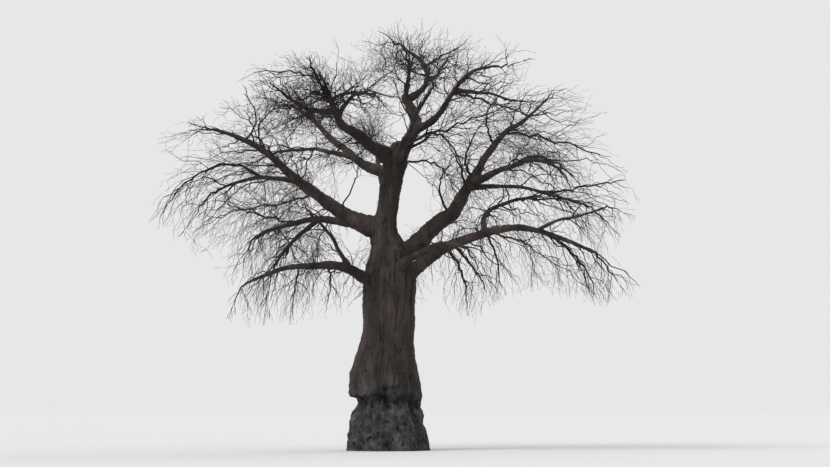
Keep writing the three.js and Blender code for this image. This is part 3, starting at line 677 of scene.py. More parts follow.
# The trunk's marks: waves to the metre across and up, and depth.
BULGES = Record(waves=np.array([1.1, 1.1, 0.22]), depth=0.06)
SWELLS = Record(waves=np.array([3.4, 3.4, 0.32]), depth=0.045)
CREASES = Record(waves=np.array([2.3, 2.3, 0.3]), depth=0.04, width=0.045, lost_on_foot=0.5)
VALLEYS = Record(sharpness=6, depth=0.08)
CHIPS = Record(waves=np.array([3.6, 3.6, 2.0]), depth=0.06)
PITS = Record(waves=4.2, depth=0.07, width=(0.08, 0.4))
# Painted shade: how dark each kind of hollow is painted, for its depth or its share. What stands out is painted
# lighter.
PAINTED_SHADING = Record(valley=0.5, crease=0.6, pit=0.7, mark=6, groove=0.6, chip=-0.3, lump=-0.5)
# Lumps: waves to the metre, octaves and shares. They stand out by a share of a bough's radius, up to
# that of a thick bough, and on the trunk by a depth. One limb's give way to the next one's over blend.
LUMP_WAVES = [(1.6, 3, 0.5), (5.0, 2, 0.3)]
LUMPS = Record(share=0.34, thick=0.4, on_trunk=0.06, blend=0.08)
# Wrinkles across the boughs near their roots.
WRINKLES = Record(start=(0.5, 1.0), run=2.2, depth=0.013, spacing=0.17, play=3, waves=1.3, on_trunk=0.35)
# Lumps and wrinkles start over this height from the ground.
GROUND_FADE = 0.3


def noise_at(places, scale, octaves=3):
    """Noise about 0 in which each octave is twice as fine and half as strong as the last."""
    return np.array([noise.fractal(place, 1.0, 2.0, octaves) for place in (places * scale).tolist()])


def pits_at(places):
    """1 in the middle of each scattered pit, and 0 between them."""
    near = np.array([noise.voronoi(place)[0][0] for place in (places * PITS.waves).tolist()])
    return 1 - blend(*PITS.width, near)


def lip_at(angle):
    """The height of the lip over the worn band, round the trunk."""
    around = np.column_stack([np.cos(angle), np.sin(angle), 0 * angle])
    return LIP_HEIGHT + sum(play * noise_at(around, waves) for play, waves in LIP_PLAY)


def worn_depth(angle, height, lip):
    facing = (0.5 + 0.5 * np.cos(angle - math.radians(WORN.heading))) ** 2
    rise = blend(WORN.foot, lip - WORN.below_lip, height) * (1 - blend(*LIP_EDGE, height - lip))
    return WORN.depth * (WORN.least + (1 - WORN.least) * facing) * rise


def foot_marks(angle, height, radius):
    marks = np.zeros(len(angle))
    for heading, level, half_width, half_height, hollow in FOOT_MARKS:
        turned = (angle - math.radians(heading) + math.pi) % (2 * math.pi) - math.pi
        marks += hollow * hump(turned * radius, half_width) * hump(height - level, half_height)
    return marks


def trunk_relief(places):
    """How far the trunk's surface stands out, which way that is, and its painted shade: darker in hollows, lighter
    where it stands out.
    """
    height = places[:, 2]
    middle, radius = trunk_at(height)
    away = places - middle
    away[:, 2] = 0
    angle = np.arctan2(away[:, 1], away[:, 0])
    on_trunk = 1 - blend(*TRUNK_REACH, np.linalg.norm(away, axis=1) / radius)
    fade = np.clip(1 - height / FOLD_FADE, 0, 1)
    phase = FOLDS * angle + FOLD_START + height / FOLD_WIND
    valley = ((1 - np.cos(phase)) / 2) ** VALLEYS.sharpness
    lip = lip_at(angle)
    rough = 1 - blend(*ROUGH_EDGE, height - lip)
    creases = hump(noise_at(places, CREASES.waves), CREASES.width)
    roll, groove = (hump(height - lip - over, half) for over, half, _ in (LIP_ROLL, LIP_GROOVE))
    marks = foot_marks(angle, height, radius)
    low = np.flatnonzero(rough > 0)
    pits = np.zeros(len(places))
    pits[low] = rough[low] * pits_at(places[low])
    chips = np.zeros(len(places))
    chips[low] = rough[low] * (1 - 2 * np.abs(noise_at(places[low], CHIPS.waves)))
    out = FOLD_DEPTH * fade * radius * np.cos(phase) - VALLEYS.depth * np.sqrt(fade) * valley
    out += sum(kind.depth * noise_at(places, kind.waves) for kind in (BULGES, SWELLS))
    out -= CREASES.depth * creases * (1 - CREASES.lost_on_foot * rough)
    out -= worn_depth(angle, height, lip) + LIP_ROLL[-1] * roll + LIP_GROOVE[-1] * groove
    out += CHIPS.depth * chips - PITS.depth * pits - marks
    # Painted shade: valleys, creases, pits, hollow marks and the groove under the lip are painted darker, and chips and
    # bulges that stand out are painted lighter.
    painted_shade_and_light = PAINTED_SHADING.valley * valley * fade + PAINTED_SHADING.crease * creases + PAINTED_SHADING.pit * pits
    painted_shade_and_light += PAINTED_SHADING.mark * marks + PAINTED_SHADING.groove * groove + PAINTED_SHADING.chip * chips
    return out * on_trunk, unit(away), painted_shade_and_light * on_trunk


def lump_sizes(gaps, along, limbs):
    """How far the lumps stand out at each place, by the limbs that it lies near."""
    shares = np.exp((gaps.min(axis=0) - gaps) / LUMPS.blend)
    sizes = shares[0] * LUMPS.on_trunk
    for row, limb in enumerate(limbs[1:], 1):
        runs = np.append(0, np.cumsum(np.linalg.norm(np.diff(limb.smooth_points, axis=0), axis=1)))
        radius = np.interp(along[row], runs, limb.smooth_radii)
        sizes += shares[row] * LUMPS.share * np.minimum(radius, LUMPS.thick)
    return sizes / shares.sum(axis=0)


def carve_bark(skin, limbs):
    """Gives the skin its relief, and an attribute of painted shade: how dark each point is painted in the hollows, less
    so on lumps that stand out.
    """
    places = places_of(skin)
    gaps, along = limb_gaps(places, limbs)
    nearest = np.argmin(gaps, axis=0)
    run = along[nearest, np.arange(len(places))]
    out, away, painted_shade_and_light = trunk_relief(places)
    move_out(skin, away, out)
    lumps = sum(share * noise_at(places, waves, octaves) for waves, octaves, share in LUMP_WAVES)
    sway = WRINKLES.play * noise_at(places, WRINKLES.waves, 2)
    wrinkles = np.sin(2 * math.pi * run / WRINKLES.spacing + sway)
    on_bough = hump(run, WRINKLES.run) * blend(*WRINKLES.start, run)
    wrinkled = WRINKLES.depth * np.where(nearest > 0, on_bough, WRINKLES.on_trunk)
    out = lump_sizes(gaps, along, limbs) * lumps + wrinkled * wrinkles
    swell(skin, out * blend(0, GROUND_FADE, places[:, 2]))
    # Painted light: lumps on the boughs take away painted shade, so they are painted lighter. The painted shade goes
    # into the hollow attribute.
    painted_shade_and_light = np.clip(painted_shade_and_light + PAINTED_SHADING.lump * lumps * (nearest > 0), 0, 1).astype(np.float32)
    skin.data.attributes.new("hollow", "FLOAT", "POINT").data.foreach_set("value", painted_shade_and_light)


# Each cut takes one side of the skin away as a piece: its name, the axis cut across, the place, the side.
CUTS = [
    ("left", 0, -1.8, -1), ("right", 0, 1.8, 1), ("crown", 2, 12.6, 1), ("front", 1, -1.75, -1),
    ("back", 1, 1.75, 1), ("foot", 2, 3.7, -1), ("fork", 2, 7.9, 1),
]
# The pieces that hold parts of the trunk. The last is what the cuts leave.
TRUNK_PIECES = ("foot", "fork", "trunk")
SHARPEST_EDGE = 60


def half_of(skin, axis, place, keep):
    """The part of a skin on one side of a plane, closed at the cut."""
    activate(skin)
    bpy.ops.object.duplicate()
    part = bpy.context.object
    bpy.ops.object.mode_set(mode="EDIT")
    bpy.ops.mesh.select_all(action="SELECT")
    across = np.eye(3)[axis]
    bpy.ops.mesh.bisect(plane_co=across * place, plane_no=across * keep, use_fill=True, clear_inner=True)
    bpy.ops.object.mode_set(mode="OBJECT")
    return part


def cut_skin(skin):
    """The skin above the ground, as pieces by name."""
    rest = half_of(skin, 2, 0.0, 1)
    pieces = {}
    bpy.data.objects.remove(skin)
    for name, axis, place, side in CUTS:
        pieces[name] = half_of(rest, axis, place, side)
        smaller = half_of(rest, axis, place, -side)
        bpy.data.objects.remove(rest)
        rest = smaller
    pieces["trunk"] = rest
    return pieces


# The crown as the eye sees it

def seen_on_plane(points):
    """X and Z where the sight line from the eye to each point crosses the trunk's plane."""
    scale = -EYE[1] / (points[..., 1] - EYE[1])
    return EYE[0] + (points[..., 0] - EYE[0]) * scale, EYE[2] + (points[..., 2] - EYE[2]) * scale


def seen_gap(points):
    """Whether each point lies in one of the crown's gaps, seen from the eye."""
    x, z = seen_on_plane(points)
    inside = np.zeros(len(points), bool)
    for middle_x, middle_z, half_x, half_z in SKY_GAPS:
        inside |= ((x - middle_x) / half_x) ** 2 + ((z - middle_z) / half_z) ** 2 < 1
    return inside


def crown_share(points):
    """How far out each point is, seen from the eye, as a share of the crown's reach that way."""
    x, z = seen_on_plane(points)
    angle = np.degrees(np.arctan2(z - CROWN_HEART[2], x - CROWN_HEART[0]))
    return np.hypot(x - CROWN_HEART[0], z - CROWN_HEART[2]) / np.interp(angle, *CROWN_REACH.T)


def fullness(points):
    """How many times the usual twigs stand at each point."""
    x, z = seen_on_plane(points)
    times = 1 - EDGE_THINNING * blend(*EDGE_REACH, crown_share(points))
    for middle_x, middle_z, half_x, half_z, full in FULLNESS:
        times *= full ** (hump(x - middle_x, half_x) * hump(z - middle_z, half_z))
    return times


def in_crown(lines, room):
    """Whether each line keeps to its share of the crown's reach, and to the solids' box."""
    inside = crown_share(lines) < room[:, None]
    low, high = (np.array(corner) for corner in cad_box)
    return np.all(inside & np.all((lines > low) & (lines < high), axis=2), axis=1)


def spray_reach(keys):
    return SPRAY_REACH[0] + (SPRAY_REACH[1] - SPRAY_REACH[0]) * chance(keys + DRAW.reach)


# Twigs. A batch holds twigs of one rule: their lines, lengths, radii at root and tip, the twigs that
# bear them and the place on those, how they hang, their share of the crown's reach, and their keys.
# Loose ones are free of their mass's space.

def chosen(twigs, which):
    return Record(**{name: values[which] for name, values in vars(twigs).items()})


def copied(twigs):
    return chosen(twigs, np.arange(len(twigs.length)))


def merged(batches):
    return Record(**{name: np.concatenate([vars(batch)[name] for batch in batches])
                     for name in vars(batches[0])})


def batch_of_one(line, length, radii, hang, loose, key):
    """A limb or stem as a batch, so that it can bear twigs."""
    one = np.ones(1)
    return Record(line=line[None], length=length * one, root=radii[0] * one, tip=radii[-1] * one,
                  order=0 * one, bearer=np.zeros(1, int), place=0 * one, hang=hang * one,
                  loose=loose * one, room=one, keys=key * one)


def pull_at(points):
    """The way twigs turn at each point: out of the crown high up, and down where it hangs."""
    outwards = unit((points - CROWN_HEART) * UMBRELLA)
    droop = 1 - blend(*DROOP, points[:, 2:])
    return outwards * (1 - DROOP_FOLD * droop) - UP * droop


def twig_lines(starts, directions, lengths, rule, hang, keys):
    """Crooked lines that turn up or down as their mass hangs."""
    lines = [starts]
    heading = directions
    pull = rule.pull * 2 * chance(keys + DRAW.pull)
    for step in range(rule.steps):
        bend_keys = keys + rule.steps * SEEDS.bends + 3 * step
        turns = np.stack([chance(bend_keys + axis) for axis in range(3)], axis=1)
        heading = heading + (turns - 0.5) * rule.crook
        heading[:, 2] -= HANG_PULL * hang / rule.steps
        bent = (2 * step + 1) / rule.steps ** 2
        heading = unit(heading + pull_at(lines[-1]) * (pull * bent)[:, None])
        lines.append(lines[-1] + heading * (lengths / rule.steps)[:, None])
    return np.stack(lines, axis=1)


def smooth_lines(lines, parts, wander, keys):
    """Lines drawn as curves through their points, with small bends between."""
    first, last = 2 * lines[:, :1] - lines[:, 1:2], 2 * lines[:, -1:] - lines[:, -2:-1]
    padded = np.concatenate([first, lines, last], axis=1)
    curved = []
    for step in range(lines.shape[1] - 1):
        a, b, c, d = (padded[:, step + item, None] for item in range(4))
        t = (np.arange(parts) / parts)[None, :, None]
        curved.append(0.5 * (2 * b + (c - a) * t + (2 * a - 5 * b + 4 * c - d) * t ** 2
                             + (3 * b - a - 3 * c + d) * t ** 3))
    curved = np.concatenate(curved + [lines[:, -1:]], axis=1)
    count = curved.shape[1]
    share = np.arange(count) / (count - 1)
    step = np.linalg.norm(curved[:, -1] - curved[:, 0], axis=1) / (count - 1)
    bend_keys = keys[:, None] + SEEDS.wander_point * np.arange(count)
    bends = np.stack([chance(bend_keys + SEEDS.wander_axis * axis) for axis in range(1, 4)], axis=2)
    return curved + (bends - 0.5) * (wander * step[:, None] * np.sin(math.pi * share))[..., None]


def resampled(lines, count):
    share = np.linspace(0, 1, count)
    return np.stack([point_on(lines, np.full(len(lines), at))[0] for at in share], axis=1)


def sprout(bearers, rule, counts, seed, reach=None):
    """The twigs that the rule gives each bearer, before any is cut short or skipped."""
    bearer = np.repeat(np.arange(len(counts)), counts)
    index = np.concatenate([np.arange(count) for count in counts])
    count = counts[bearer]
    keys = seed + SEEDS.bearer * bearer + SEEDS.twig * index

    def draw(item, span):
        return span[0] + (span[1] - span[0]) * chance(keys + item)

    leader = index == count - 1
    along = (index + draw(DRAW.place, (0, PLACE_PLAY))) / np.maximum(count - 1, 1)
    place = np.where(leader, LEADER.place, rule.first + (rule.last - rule.first) * along)
    point, bearing = point_on(bearers.line[bearer], place)
    off = np.radians(draw(DRAW.spread, rule.spread) * np.where(leader, LEADER.spread, 1))
    turn = GOLDEN_TURN * index + QUARTER_TURN * bearers.order[bearer] + draw(DRAW.turn, (0, TURN_PLAY))
    turn = np.radians(turn)
    side = square_to(bearing)
    side = side * np.cos(turn)[:, None] + np.cross(bearing, side) * np.sin(turn)[:, None]
    direction = side * np.sin(off)[:, None] + bearing * np.cos(off)[:, None]
    size = draw(DRAW.play, rule.play)
    length = (bearers.length[bearer] if reach is None else reach) * rule.share * size
    girth = bearers.root[bearer] + (bearers.tip[bearer] - bearers.root[bearer]) * place
    girth = girth * np.where(leader, LEADER.girth, draw(DRAW.girth, rule.girth))
    return Record(
        line=twig_lines(point, direction, length, rule, bearers.hang[bearer], keys), length=length,
        root=np.minimum(girth, rule.thickest * np.sqrt(size)), tip=np.full(len(keys), TWIG_TIP),
        order=index, bearer=bearer, place=place, hang=bearers.hang[bearer], loose=bearers.loose[bearer],
        room=bearers.room[bearer], keys=keys)


def in_space(lines, space):
    """Whether all points of each line lie in a mass's space."""
    away = lines - space.middle
    ahead = 2 * (away @ space.ahead) / space.length
    aside = 2 * (away @ space.aside) / space.width
    above = 2 * away[..., 2] / space.height
    return np.all(ahead ** 2 + aside ** 2 + above ** 2 <= 1, axis=1)


def stretch_distances(a, b, c, d):
    """The least distances between straight stretches a-b and c-d, each first one with each second one."""
    u, v = (b - a)[:, None], (d - c)[None]
    w = a[:, None] - c[None]
    uu, uv, vv = (u * u).sum(-1), (u * v).sum(-1), (v * v).sum(-1)
    uw, vw = (u * w).sum(-1), (v * w).sum(-1)
    spread = uu * vv - uv * uv
    near = np.where(spread > 0, np.clip((uv * vw - vv * uw) / np.where(spread > 0, spread, 1), 0, 1), 0)
    t = np.clip((uv * near + vw) / vv, 0, 1)
    s = np.clip((uv * t - uw) / uu, 0, 1)
    return np.linalg.norm(w + u * s[..., None] - v * t[..., None], axis=-1)


def is_clear(lines, radii, taken):
    clear = np.ones(len(lines), bool)
    for step in range(lines.shape[1] - 1):
        distances = stretch_distances(lines[:, step], lines[:, step + 1], taken.start, taken.end)
        clear &= np.all(distances >= radii[:, None] + taken.radius + TWIG_ROOM, axis=1)
    return clear


def shortened(lines, shares):
    """Each line drawn back towards its root to a share of its length."""
    return lines[:, :1] + (lines - lines[:, :1]) * np.reshape(shares, (-1, 1, 1))


def fitted(twigs, fits):
    """Each twig at the first length that fits, without those that never do."""
    cut = np.zeros(len(twigs.length))
    for share in SHORTENED:
        cut[(cut == 0) & fits(shortened(twigs.line, share))] = share
    kept = chosen(twigs, cut > 0)
    cut = cut[cut > 0]
    kept.line = shortened(kept.line, cut)
    kept.length = kept.length * cut
    return kept


def drawn_in(twigs):
    """The twigs that fit the crown, some of them drawn back to do so, without those that never fit."""
    for share in SHORTENED[1:]:
        shares = np.where(in_crown(twigs.line, twigs.room), 1, share)
        twigs.line = shortened(twigs.line, shares)
        twigs.length = twigs.length * shares
    return chosen(twigs, in_crown(twigs.line, twigs.room))


def add_taken(taken, lines, radii):
    taken.start = np.vstack([taken.start, lines[:, :-1].reshape(-1, 3)])
    taken.end = np.vstack([taken.end, lines[:, 1:].reshape(-1, 3)])
    taken.radius = np.append(taken.radius, radii)


def taken_by(limbs):
    """The stretches of space that the limbs take up."""
    taken = Record(start=np.empty((0, 3)), end=np.empty((0, 3)), radius=np.empty(0))
    for limb in limbs.values():
        radii = limb.radii * (1 + FOLD_DEPTH) if limb.name == "trunk" else limb.radii
        add_taken(taken, limb.points[None], np.maximum(radii[1:], radii[:-1]))
    return taken


def space_of(mass, limb):
    """The rounded space that a mass keeps to, ahead of its bough's tip."""
    ahead = unit(limb.ending * [1, 1, 0])
    drop = UP * SPACE_DROP * mass.hang * mass.height
    return Record(length=mass.length, width=mass.width, height=mass.height, ahead=ahead,
                  aside=np.cross(ahead, UP),
                  middle=limb.points[-1] + ahead * SPACE_AHEAD * mass.length - drop)


def twigs_of_solid(mass, limb, space, seed, taken):
    """The stem and twigs that the solid of a mass has, in a batch for each rule."""
    start = limb.points[-1] + limb.ending * GAP
    length = STEM.share * mass.length
    one = np.ones(1)
    line = twig_lines(start[None], limb.ending[None], length * one, STEM, mass.hang, seed * one)[0]
    line[1] = start + limb.ending * length / STEM.steps
    levels = [batch_of_one(line, length, limb.radii[-1] * np.array([1, STEM_TAPER]), mass.hang, 0, seed)]
    kinds = [(round(mass.width / TWIG_SPACING), mass.length), (TWIGS_ON_TWIG, None)]
    for level, (rule, (count, reach)) in enumerate(zip(TWIGS, kinds), 1):
        counts = np.full(len(levels[-1].length), count)
        twigs = sprout(levels[-1], rule, counts, seed + SEEDS.level * level, reach)

        def fits(lines):
            return in_space(lines[:, 1:], space) & is_clear(lines, twigs.root, taken)

        levels.append(fitted(twigs, fits))
    for twigs in levels:
        add_taken(taken, twigs.line, np.repeat(twigs.root, twigs.line.shape[1] - 1))
    return levels


def bent_stem(stem):
    """The line of a stem as it is drawn: shorter than the solid's, and bent the way that twigs turn."""
    line = shortened(stem.line, STEM_SHOWN)
    bend = STEM_BEND * stem.length * STEM_SHOWN * np.linspace(0, 1, line.shape[1]) ** 2
    return line + pull_at(line[0]) * bend[:, None]


def drawn_twigs(levels):
    """The solid's stem and twigs as they are drawn: slender, crooked and within the crown."""
    drawn = []
    for twigs, rule in zip(map(copied, levels), [STEM] + TWIGS):
        if drawn:
            moved = point_on(drawn[-1].line[twigs.bearer], twigs.place)[0] - twigs.line[:, 0]
            twigs.line = twigs.line + moved[:, None]
            twigs.root = twigs.root * SLENDER
            twigs.tip[:] = FINE_TIP
            twigs.room = drawn[-1].room[twigs.bearer] if len(drawn) > 1 else spray_reach(twigs.keys)
        else:
            twigs.line = bent_stem(twigs)
            twigs.tip[:] = TWIG_TIP
        twigs.line = shortened(twigs.line, np.where(in_crown(twigs.line, twigs.room), 1, SHORTENED[-1]))
        twigs.line = smooth_lines(twigs.line, rule.parts, WANDER, twigs.keys)
        drawn.append(twigs)
    return drawn


def lesser_limb(lesser, limbs, hang, key):
    """A lesser limb, curved from its place on the limb that bears it by its middle point to its tip."""
    bearer = limbs[lesser.on]
    root = root_on(bearer, bearer.smooth_points, lesser.at)
    middle, tip = np.array(lesser.middle), np.array(lesser.tip)
    share = np.linspace(0, 1, LESSER.points)[:, None]
    handle = 2 * middle - (root + tip) / 2
    points = root * (1 - share) ** 2 + handle * 2 * share * (1 - share) + tip * share ** 2
    wavy = smooth_lines(points[None], LESSER.parts, LESSER.wander, np.array([key]))[0]
    length = np.linalg.norm(np.diff(points, axis=0), axis=1).sum()
    return batch_of_one(wavy, length, np.array(lesser.girth) / 2, hang * LESSER.hang, 1, key)


def shoots_on(mass, limb, lesser, seed):
    """The shoots on a mass's bough and lesser limbs, and in the knots on its bough."""
    bearing = batch_of_one(limb.smooth_points, limb.length, limb.radii, mass.hang, 1, seed)
    shoots = []
    for row, bearer in enumerate([bearing] + lesser):
        count = round(bearer.length[0] * (SHOOTS.last - SHOOTS.first) / SHOOTS.spacing)
        counts = np.array([max(LEAST_SHOOTS, count)])
        reach = None if row else mass.length
        shoots.append(sprout(bearer, SHOOTS, counts, seed + SEEDS.shoots + SEEDS.limb * row, reach))
    for row, knot in enumerate(KNOTS):
        if knot.on == mass.bough:
            places = np.clip(knot.at + KNOT_PLACES, 0, 1)
            around = point_on(np.repeat(limb.smooth_points[None], len(places), axis=0), places)[0]
            bearer = batch_of_one(around, knot.reach, limb.smooth_radii[-2:], 0, 1, seed + SEEDS.knot * row)
            counts = np.array([knot.count])
            shoots.append(sprout(bearer, KNOT_SHOOTS, counts, seed + SEEDS.knot_shoots + SEEDS.limb * row))
    shoots = merged(shoots)
    shoots.room = spray_reach(shoots.keys)
    shoots = drawn_in(chosen(shoots, ~seen_gap(shoots.line[:, -1])))
    shoots.line = smooth_lines(shoots.line, SHOOTS.parts, WANDER, shoots.keys)
    return shoots


def finer_twigs(bearers, rule, space, seed):
    """The twigs of a finer rule on all bearers, as thick as the crown is there."""
    counts = bearers.length * (rule.last - rule.first) / rule.spacing
    counts = counts * fullness(bearers.line[:, bearers.line.shape[1] // 2])
    counts = np.maximum(np.floor(counts + chance(bearers.keys + DRAW.count)), 1).astype(int)
    twigs = sprout(bearers, rule, counts, seed)
    twigs.tip[:] = FINE_TIP
    inside = in_space(twigs.line, space) | (twigs.loose > 0)
    gap = seen_gap(twigs.line[:, -1]) & (chance(twigs.keys + DRAW.sky) > SKY_LEFT)
    twigs = drawn_in(chosen(twigs, inside & ~gap))
    twigs.line = smooth_lines(twigs.line, rule.parts, WANDER, twigs.keys)
    return twigs


def grow_mass(mass, order, limbs, taken):
    """All twigs of one mass, as batches with their rules. The stem carries on from the bough's tip."""
    limb = limbs[mass.bough]
    space = space_of(mass, limb)
    seed = SEEDS.mass * (order + 1)
    drawn = drawn_twigs(twigs_of_solid(mass, limb, space, seed, taken))
    lesser = [lesser_limb(item, limbs, mass.hang, seed + SEEDS.lesser * row)
              for row, item in enumerate(LESSER_LIMBS) if (item.mass or item.on) == mass.bough]
    shoots = shoots_on(mass, limb, lesser, seed)
    batches = list(zip(drawn, [STEM] + TWIGS)) + [(twigs, SHOOTS) for twigs in [shoots] + lesser]
    coarse = [copied(twigs) for twigs, _ in batches]
    for twigs in coarse:
        twigs.line = resampled(twigs.line, BEARING_POINTS)
    bearers = merged(coarse)
    for level, rule in enumerate(FINE_TWIGS):
        bearers = finer_twigs(bearers, rule, space, seed + SEEDS.fine + SEEDS.level * level)
        batches.append((bearers, rule))
    return batches


def twig_tubes(twigs, sides):
    """Corners and triangles of pointed tubes along the twigs' lines, and the triangles of each."""
    lines = twigs.line
    count, last = len(lines), lines.shape[1] - 1
    ends = np.concatenate([lines[:, :1], lines, lines[:, -1:]], axis=1)
    directions = unit(ends[:, 2:] - ends[:, :-2])
    across = square_to(directions[:, 0])
    radii = twigs.root[:, None] + (twigs.tip - twigs.root)[:, None] * np.arange(last) / last
    angles = 2 * math.pi * np.arange(sides) / sides
    corners = np.empty((count, last * sides + 1, 3))
    for index in range(last):
        direction = directions[:, index]
        across = unit(across - direction * (across * direction).sum(-1)[:, None])
        side = np.cross(direction, across)
        ring = across[:, None] * np.cos(angles)[:, None] + side[:, None] * np.sin(angles)[:, None]
        ring = lines[:, index, None] + ring * radii[:, index, None, None]
        corners[:, index * sides:(index + 1) * sides] = ring
    corners[:, -1] = lines[:, -1]
    triangles = [(0, item + 1, item) for item in range(1, sides - 1)]
    for ring in range(0, (last - 1) * sides, sides):
        for item in range(sides):
            a, b = ring + item, ring + (item + 1) % sides
            triangles += [(a, b, b + sides), (a, b + sides, a + sides)]
    top = (last - 1) * sides
    triangles += [(top + item, top + (item + 1) % sides, last * sides) for item in range(sides)]
    offsets = np.arange(count)[:, None, None] * corners.shape[1]
    return corners.reshape(-1, 3), (np.array(triangles)[None] + offsets).reshape(-1, 3), len(triangles)


def twig_piece(name, batches, materials):
    """One mesh of all twigs of a mass, its tints dealt out by twig."""
    corners, triangles, tints, used = [], [], [], 0
    for twigs, rule in batches:
        if not len(twigs.length):
            continue
        places, faces, per_twig = twig_tubes(twigs, rule.sides)
        corners.append(places)
        triangles.append(faces + used)
        tints.append(np.repeat((chance(twigs.keys + DRAW.tint) * len(materials)).astype(int), per_twig))
        used += len(places)
    mesh = bpy.data.meshes.new(name)
    mesh.from_pydata(np.concatenate(corners), [], np.concatenate(triangles))
    for material in materials:
        mesh.materials.append(material)
    mesh.polygons.foreach_set("material_index", np.concatenate(tints).astype(np.int32))
    mesh.polygons.foreach_set("use_smooth", np.ones(len(mesh.polygons), bool))
    mesh.update()
    piece = bpy.data.objects.new(name, mesh)
    bpy.context.collection.objects.link(piece)
    return piece


# Materials

# Bark colours, all painted darker than the bark's own grey-brown to stand in for the shade of a tree against the light:
# cloudy patches up the trunk, dark streaks down it, the cooler foot, and painted shade in the hollows.
BARK_COLOUR = (0.1, 0.085, 0.075)
BARK_PATCHES = [(0.3, (0.017, 0.013, 0.012)), (0.5, (0.036, 0.028, 0.025)), (0.7, (0.072, 0.055, 0.047))]
BARK_STREAK = (0.014, 0.011, 0.010)
FOOT_PATCHES = [(0.32, (0.014, 0.014, 0.016)), (0.5, (0.036, 0.036, 0.039)), (0.68, (0.080, 0.077, 0.078))]
PAINTED_HOLLOW_SHADE = (0.005, 0.004, 0.004)
# Twig tints, painted near black: darker than the twigs' own bark, as painted shade of twigs seen against the light.
TWIG_TINTS = [(0.014, 0.011, 0.010), (0.021, 0.016, 0.013), (0.032, 0.022, 0.017)]
ROUGHNESS = Record(bark=0.88, twigs=0.85, floor=0.95)
SHEEN = 0.3
# Clouds in the bark, of colour and then of height: how they are drawn out on the three axes, waves to
# the metre, detail and its roughness.
PATCH_CLOUD = ((1, 1, 0.45), 1.3, 6, 0.55)
STREAK_CLOUD = ((1, 1, 0.12), 5.5, 4, 0.6)
FOOT_CLOUD = ((1, 1, 1), 3.4, 7, 0.62)
FISSURES = ((1, 1, 0.22), 9, 5, 0.6)
GRAIN = ((1, 1, 0.7), 26, 7, 0.65)
# The bumps on the bark: cloud, strength, height.
BUMPS = [(FISSURES, 0.7, 0.05), (GRAIN, 0.5, 0.02)]
# Where streaks start and are full in their cloud, and the heights where the foot's colours do.
STREAK_EDGE = (0.5, 0.72)
FOOT_EDGE = (3.0, 2.0)
# A colour mix takes its two colours in the first two sockets and gives the mix in the third.
MIX_LOW, MIX_HIGH, MIX_RESULT = 6, 7, 2


def rgba(colour):
    return (*colour, 1)


def new_material(name, colour, roughness):
    material = bpy.data.materials.new(name)
    material.use_nodes = True
    shader = material.node_tree.nodes["Principled BSDF"]
    shader.inputs["Base Color"].default_value = rgba(colour)
    shader.inputs["Roughness"].default_value = roughness
    shader.inputs["Specular IOR Level"].default_value = SHEEN
    return material


def bark_material(name):
    material = new_material(name, BARK_COLOUR, ROUGHNESS.bark)
    nodes, links = material.node_tree.nodes, material.node_tree.links
    place = nodes.new("ShaderNodeTexCoord").outputs["Object"]

    def add(kind, result, **inputs):
        """The result of a new node with its inputs set or linked. Their names have _ for a space."""
        node = nodes.new(kind)
        for item, value in inputs.items():
            socket = node.inputs[item.replace("_", " ")]
            if isinstance(value, bpy.types.NodeSocket):
                links.new(value, socket)
            else:
                socket.default_value = value
        return node.outputs[result]

    def cloud(stretch, waves, detail, roughness):
        drawn_out = add("ShaderNodeMapping", "Vector", Vector=place, Scale=stretch)
        return add("ShaderNodeTexNoise", "Fac", Vector=drawn_out, Scale=waves, Detail=detail,
                   Roughness=roughness)

    def ramp(value, stops):
        tints = nodes.new("ShaderNodeValToRGB")
        elements = tints.color_ramp.elements
        for position, colour in stops:
            elements.new(position).color = rgba(colour)
        elements.remove(elements[0])
        elements.remove(elements[-1])
        links.new(value, tints.inputs["Fac"])
        return tints.outputs["Color"]

    def mixed(share, low, high):
        mix = nodes.new("ShaderNodeMix")
        mix.data_type = "RGBA"
        links.new(share, mix.inputs["Factor"])
        links.new(low, mix.inputs[MIX_LOW])
        if isinstance(high, tuple):
            mix.inputs[MIX_HIGH].default_value = rgba(high)
        else:
            links.new(high, mix.inputs[MIX_HIGH])
        return mix.outputs[MIX_RESULT]

    def spread(value, low, high):
        return add("ShaderNodeMapRange", "Result", Value=value, From_Min=low, From_Max=high)

    level = add("ShaderNodeSeparateXYZ", "Z", Vector=place)
    # Painted shade: the hollow attribute mixes the bark towards near black where the relief is deep, and less where it
    # stands out.
    hollow = nodes.new("ShaderNodeAttribute")
    hollow.attribute_name = "hollow"
    patches = ramp(cloud(*PATCH_CLOUD), BARK_PATCHES)
    colour = mixed(spread(cloud(*STREAK_CLOUD), *STREAK_EDGE), patches, BARK_STREAK)
    colour = mixed(spread(level, *FOOT_EDGE), colour, ramp(cloud(*FOOT_CLOUD), FOOT_PATCHES))
    colour = mixed(hollow.outputs["Fac"], colour, PAINTED_HOLLOW_SHADE)
    bumps = {}
    for relief, strength, height in BUMPS:
        bumps["Normal"] = add("ShaderNodeBump", "Normal", Height=cloud(*relief), Strength=strength,
                              Distance=height, **bumps)
    shader = nodes["Principled BSDF"]
    links.new(colour, shader.inputs["Base Color"])
    links.new(bumps["Normal"], shader.inputs["Normal"])
    return material


# Stage: the suns and the floor's colour make the floor as bright as the sky behind it.
# Suns: heading, climb, strength.
SUNS = {"key": (222, 42, 2.3), "rim": (50, 35, 0.7)}
SUN_WIDTH = 30
SKY_COLOUR = (0.80, 0.80, 0.81)
FLOOR_COLOUR = (0.565, 0.563, 0.57)
FLOOR_SIDES = 96
FLOOR_RADIUS = 600
FLOOR_DEPTH = 0.002
SIGHT = 2000


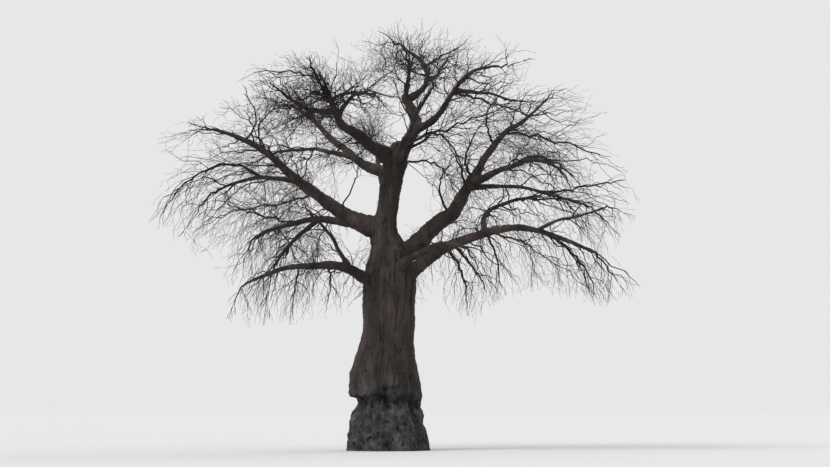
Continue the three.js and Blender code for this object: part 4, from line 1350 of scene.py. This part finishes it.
def make_stage():
    deselect()
    bpy.ops.mesh.primitive_circle_add(
        vertices=FLOOR_SIDES, radius=FLOOR_RADIUS, fill_type="NGON", location=(0, 0, -FLOOR_DEPTH))
    floor = bpy.context.object
    floor.name = "floor"
    floor.data.materials.append(new_material("pale_floor", FLOOR_COLOUR, ROUGHNESS.floor))
    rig.stage(floor)
    world = bpy.data.worlds.new("studio")
    world.use_nodes = True
    world.node_tree.nodes["Background"].inputs["Color"].default_value = rgba(SKY_COLOUR)
    world.node_tree.nodes["Background"].inputs["Strength"].default_value = 1
    bpy.context.scene.world = world
    bpy.context.scene.view_settings.view_transform = "Standard"
    for name, (heading, climb, strength) in SUNS.items():
        light = bpy.data.lights.new(name, "SUN")
        light.angle = math.radians(SUN_WIDTH)
        light.energy = strength
        lamp = bpy.data.objects.new(name, light)
        lamp.rotation_euler = Vector(towards(heading, climb)).to_track_quat("Z", "Y").to_euler()
        bpy.context.collection.objects.link(lamp)


def make_camera():
    camera = bpy.data.cameras.new("camera")
    camera.lens = LENS
    camera.sensor_width = SENSOR
    camera.clip_end = SIGHT
    eye = bpy.data.objects.new("camera", camera)
    eye.location = EYE
    eye.rotation_euler = (math.radians(90 + TILT), 0, 0)
    bpy.context.collection.objects.link(eye)
    bpy.context.scene.camera = eye


# Assembly

def piece_with(limb):
    """The name of the skin's piece that holds the most of a bough."""
    middle = limb.points[len(limb.points) * 2 // 3]
    for name, axis, place, side in CUTS:
        if (middle[axis] - place) * side > 0:
            return name
    return "trunk"


def dress_limbs(limbs):
    """The bark skin in place of the trunk and boughs."""
    trunk_bark, bough_bark = bark_material("trunk_bark"), bark_material("bough_bark")
    skin = bark_skin(list(limbs.values()))
    carve_bark(skin, list(limbs.values()))
    for name, piece in cut_skin(skin).items():
        on_trunk = name in TRUNK_PIECES
        nodes = [f"{bough.name}_bough" for bough in BOUGHS if piece_with(limbs[bough.name]) == name]
        piece.name = f"{name}_bark"
        activate(piece)
        bpy.ops.object.shade_smooth_by_angle(angle=math.radians(SHARPEST_EDGE))
        piece.data.materials.clear()
        piece.data.materials.append(trunk_bark if on_trunk else bough_bark)
        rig.ride(piece, "root")
        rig.replaces(piece, *(["trunk"] if on_trunk else []), *nodes)
        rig.slot(piece, "trunk_bark" if on_trunk else "bough_bark")


def dress_masses(limbs):
    """Twigs carried on to the finest in place of each mass."""
    materials = [new_material(f"twig_bark_{item}", tint, ROUGHNESS.twigs)
                 for item, tint in enumerate(TWIG_TINTS)]
    taken = taken_by(limbs)
    for order, mass in enumerate(MASSES):
        name = f"{mass.bough}_twigs"
        piece = twig_piece(f"{name}_fine", grow_mass(mass, order, limbs, taken), materials)
        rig.ride(piece, "root")
        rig.replaces(piece, name)
        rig.slot(piece, "twig_bark")


limbs = {"trunk": trunk_limb()}
for order, bough in enumerate(BOUGHS):
    limbs[bough.name] = bough_limb(bough, order, limbs)
dress_limbs(limbs)
dress_masses(limbs)
make_stage()
make_camera()

with open("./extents.json", "w") as sizes:
    json.dump({"cad": [list(corner) for corner in cad_box], "visual": [list(corner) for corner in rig.bounds()]}, sizes)
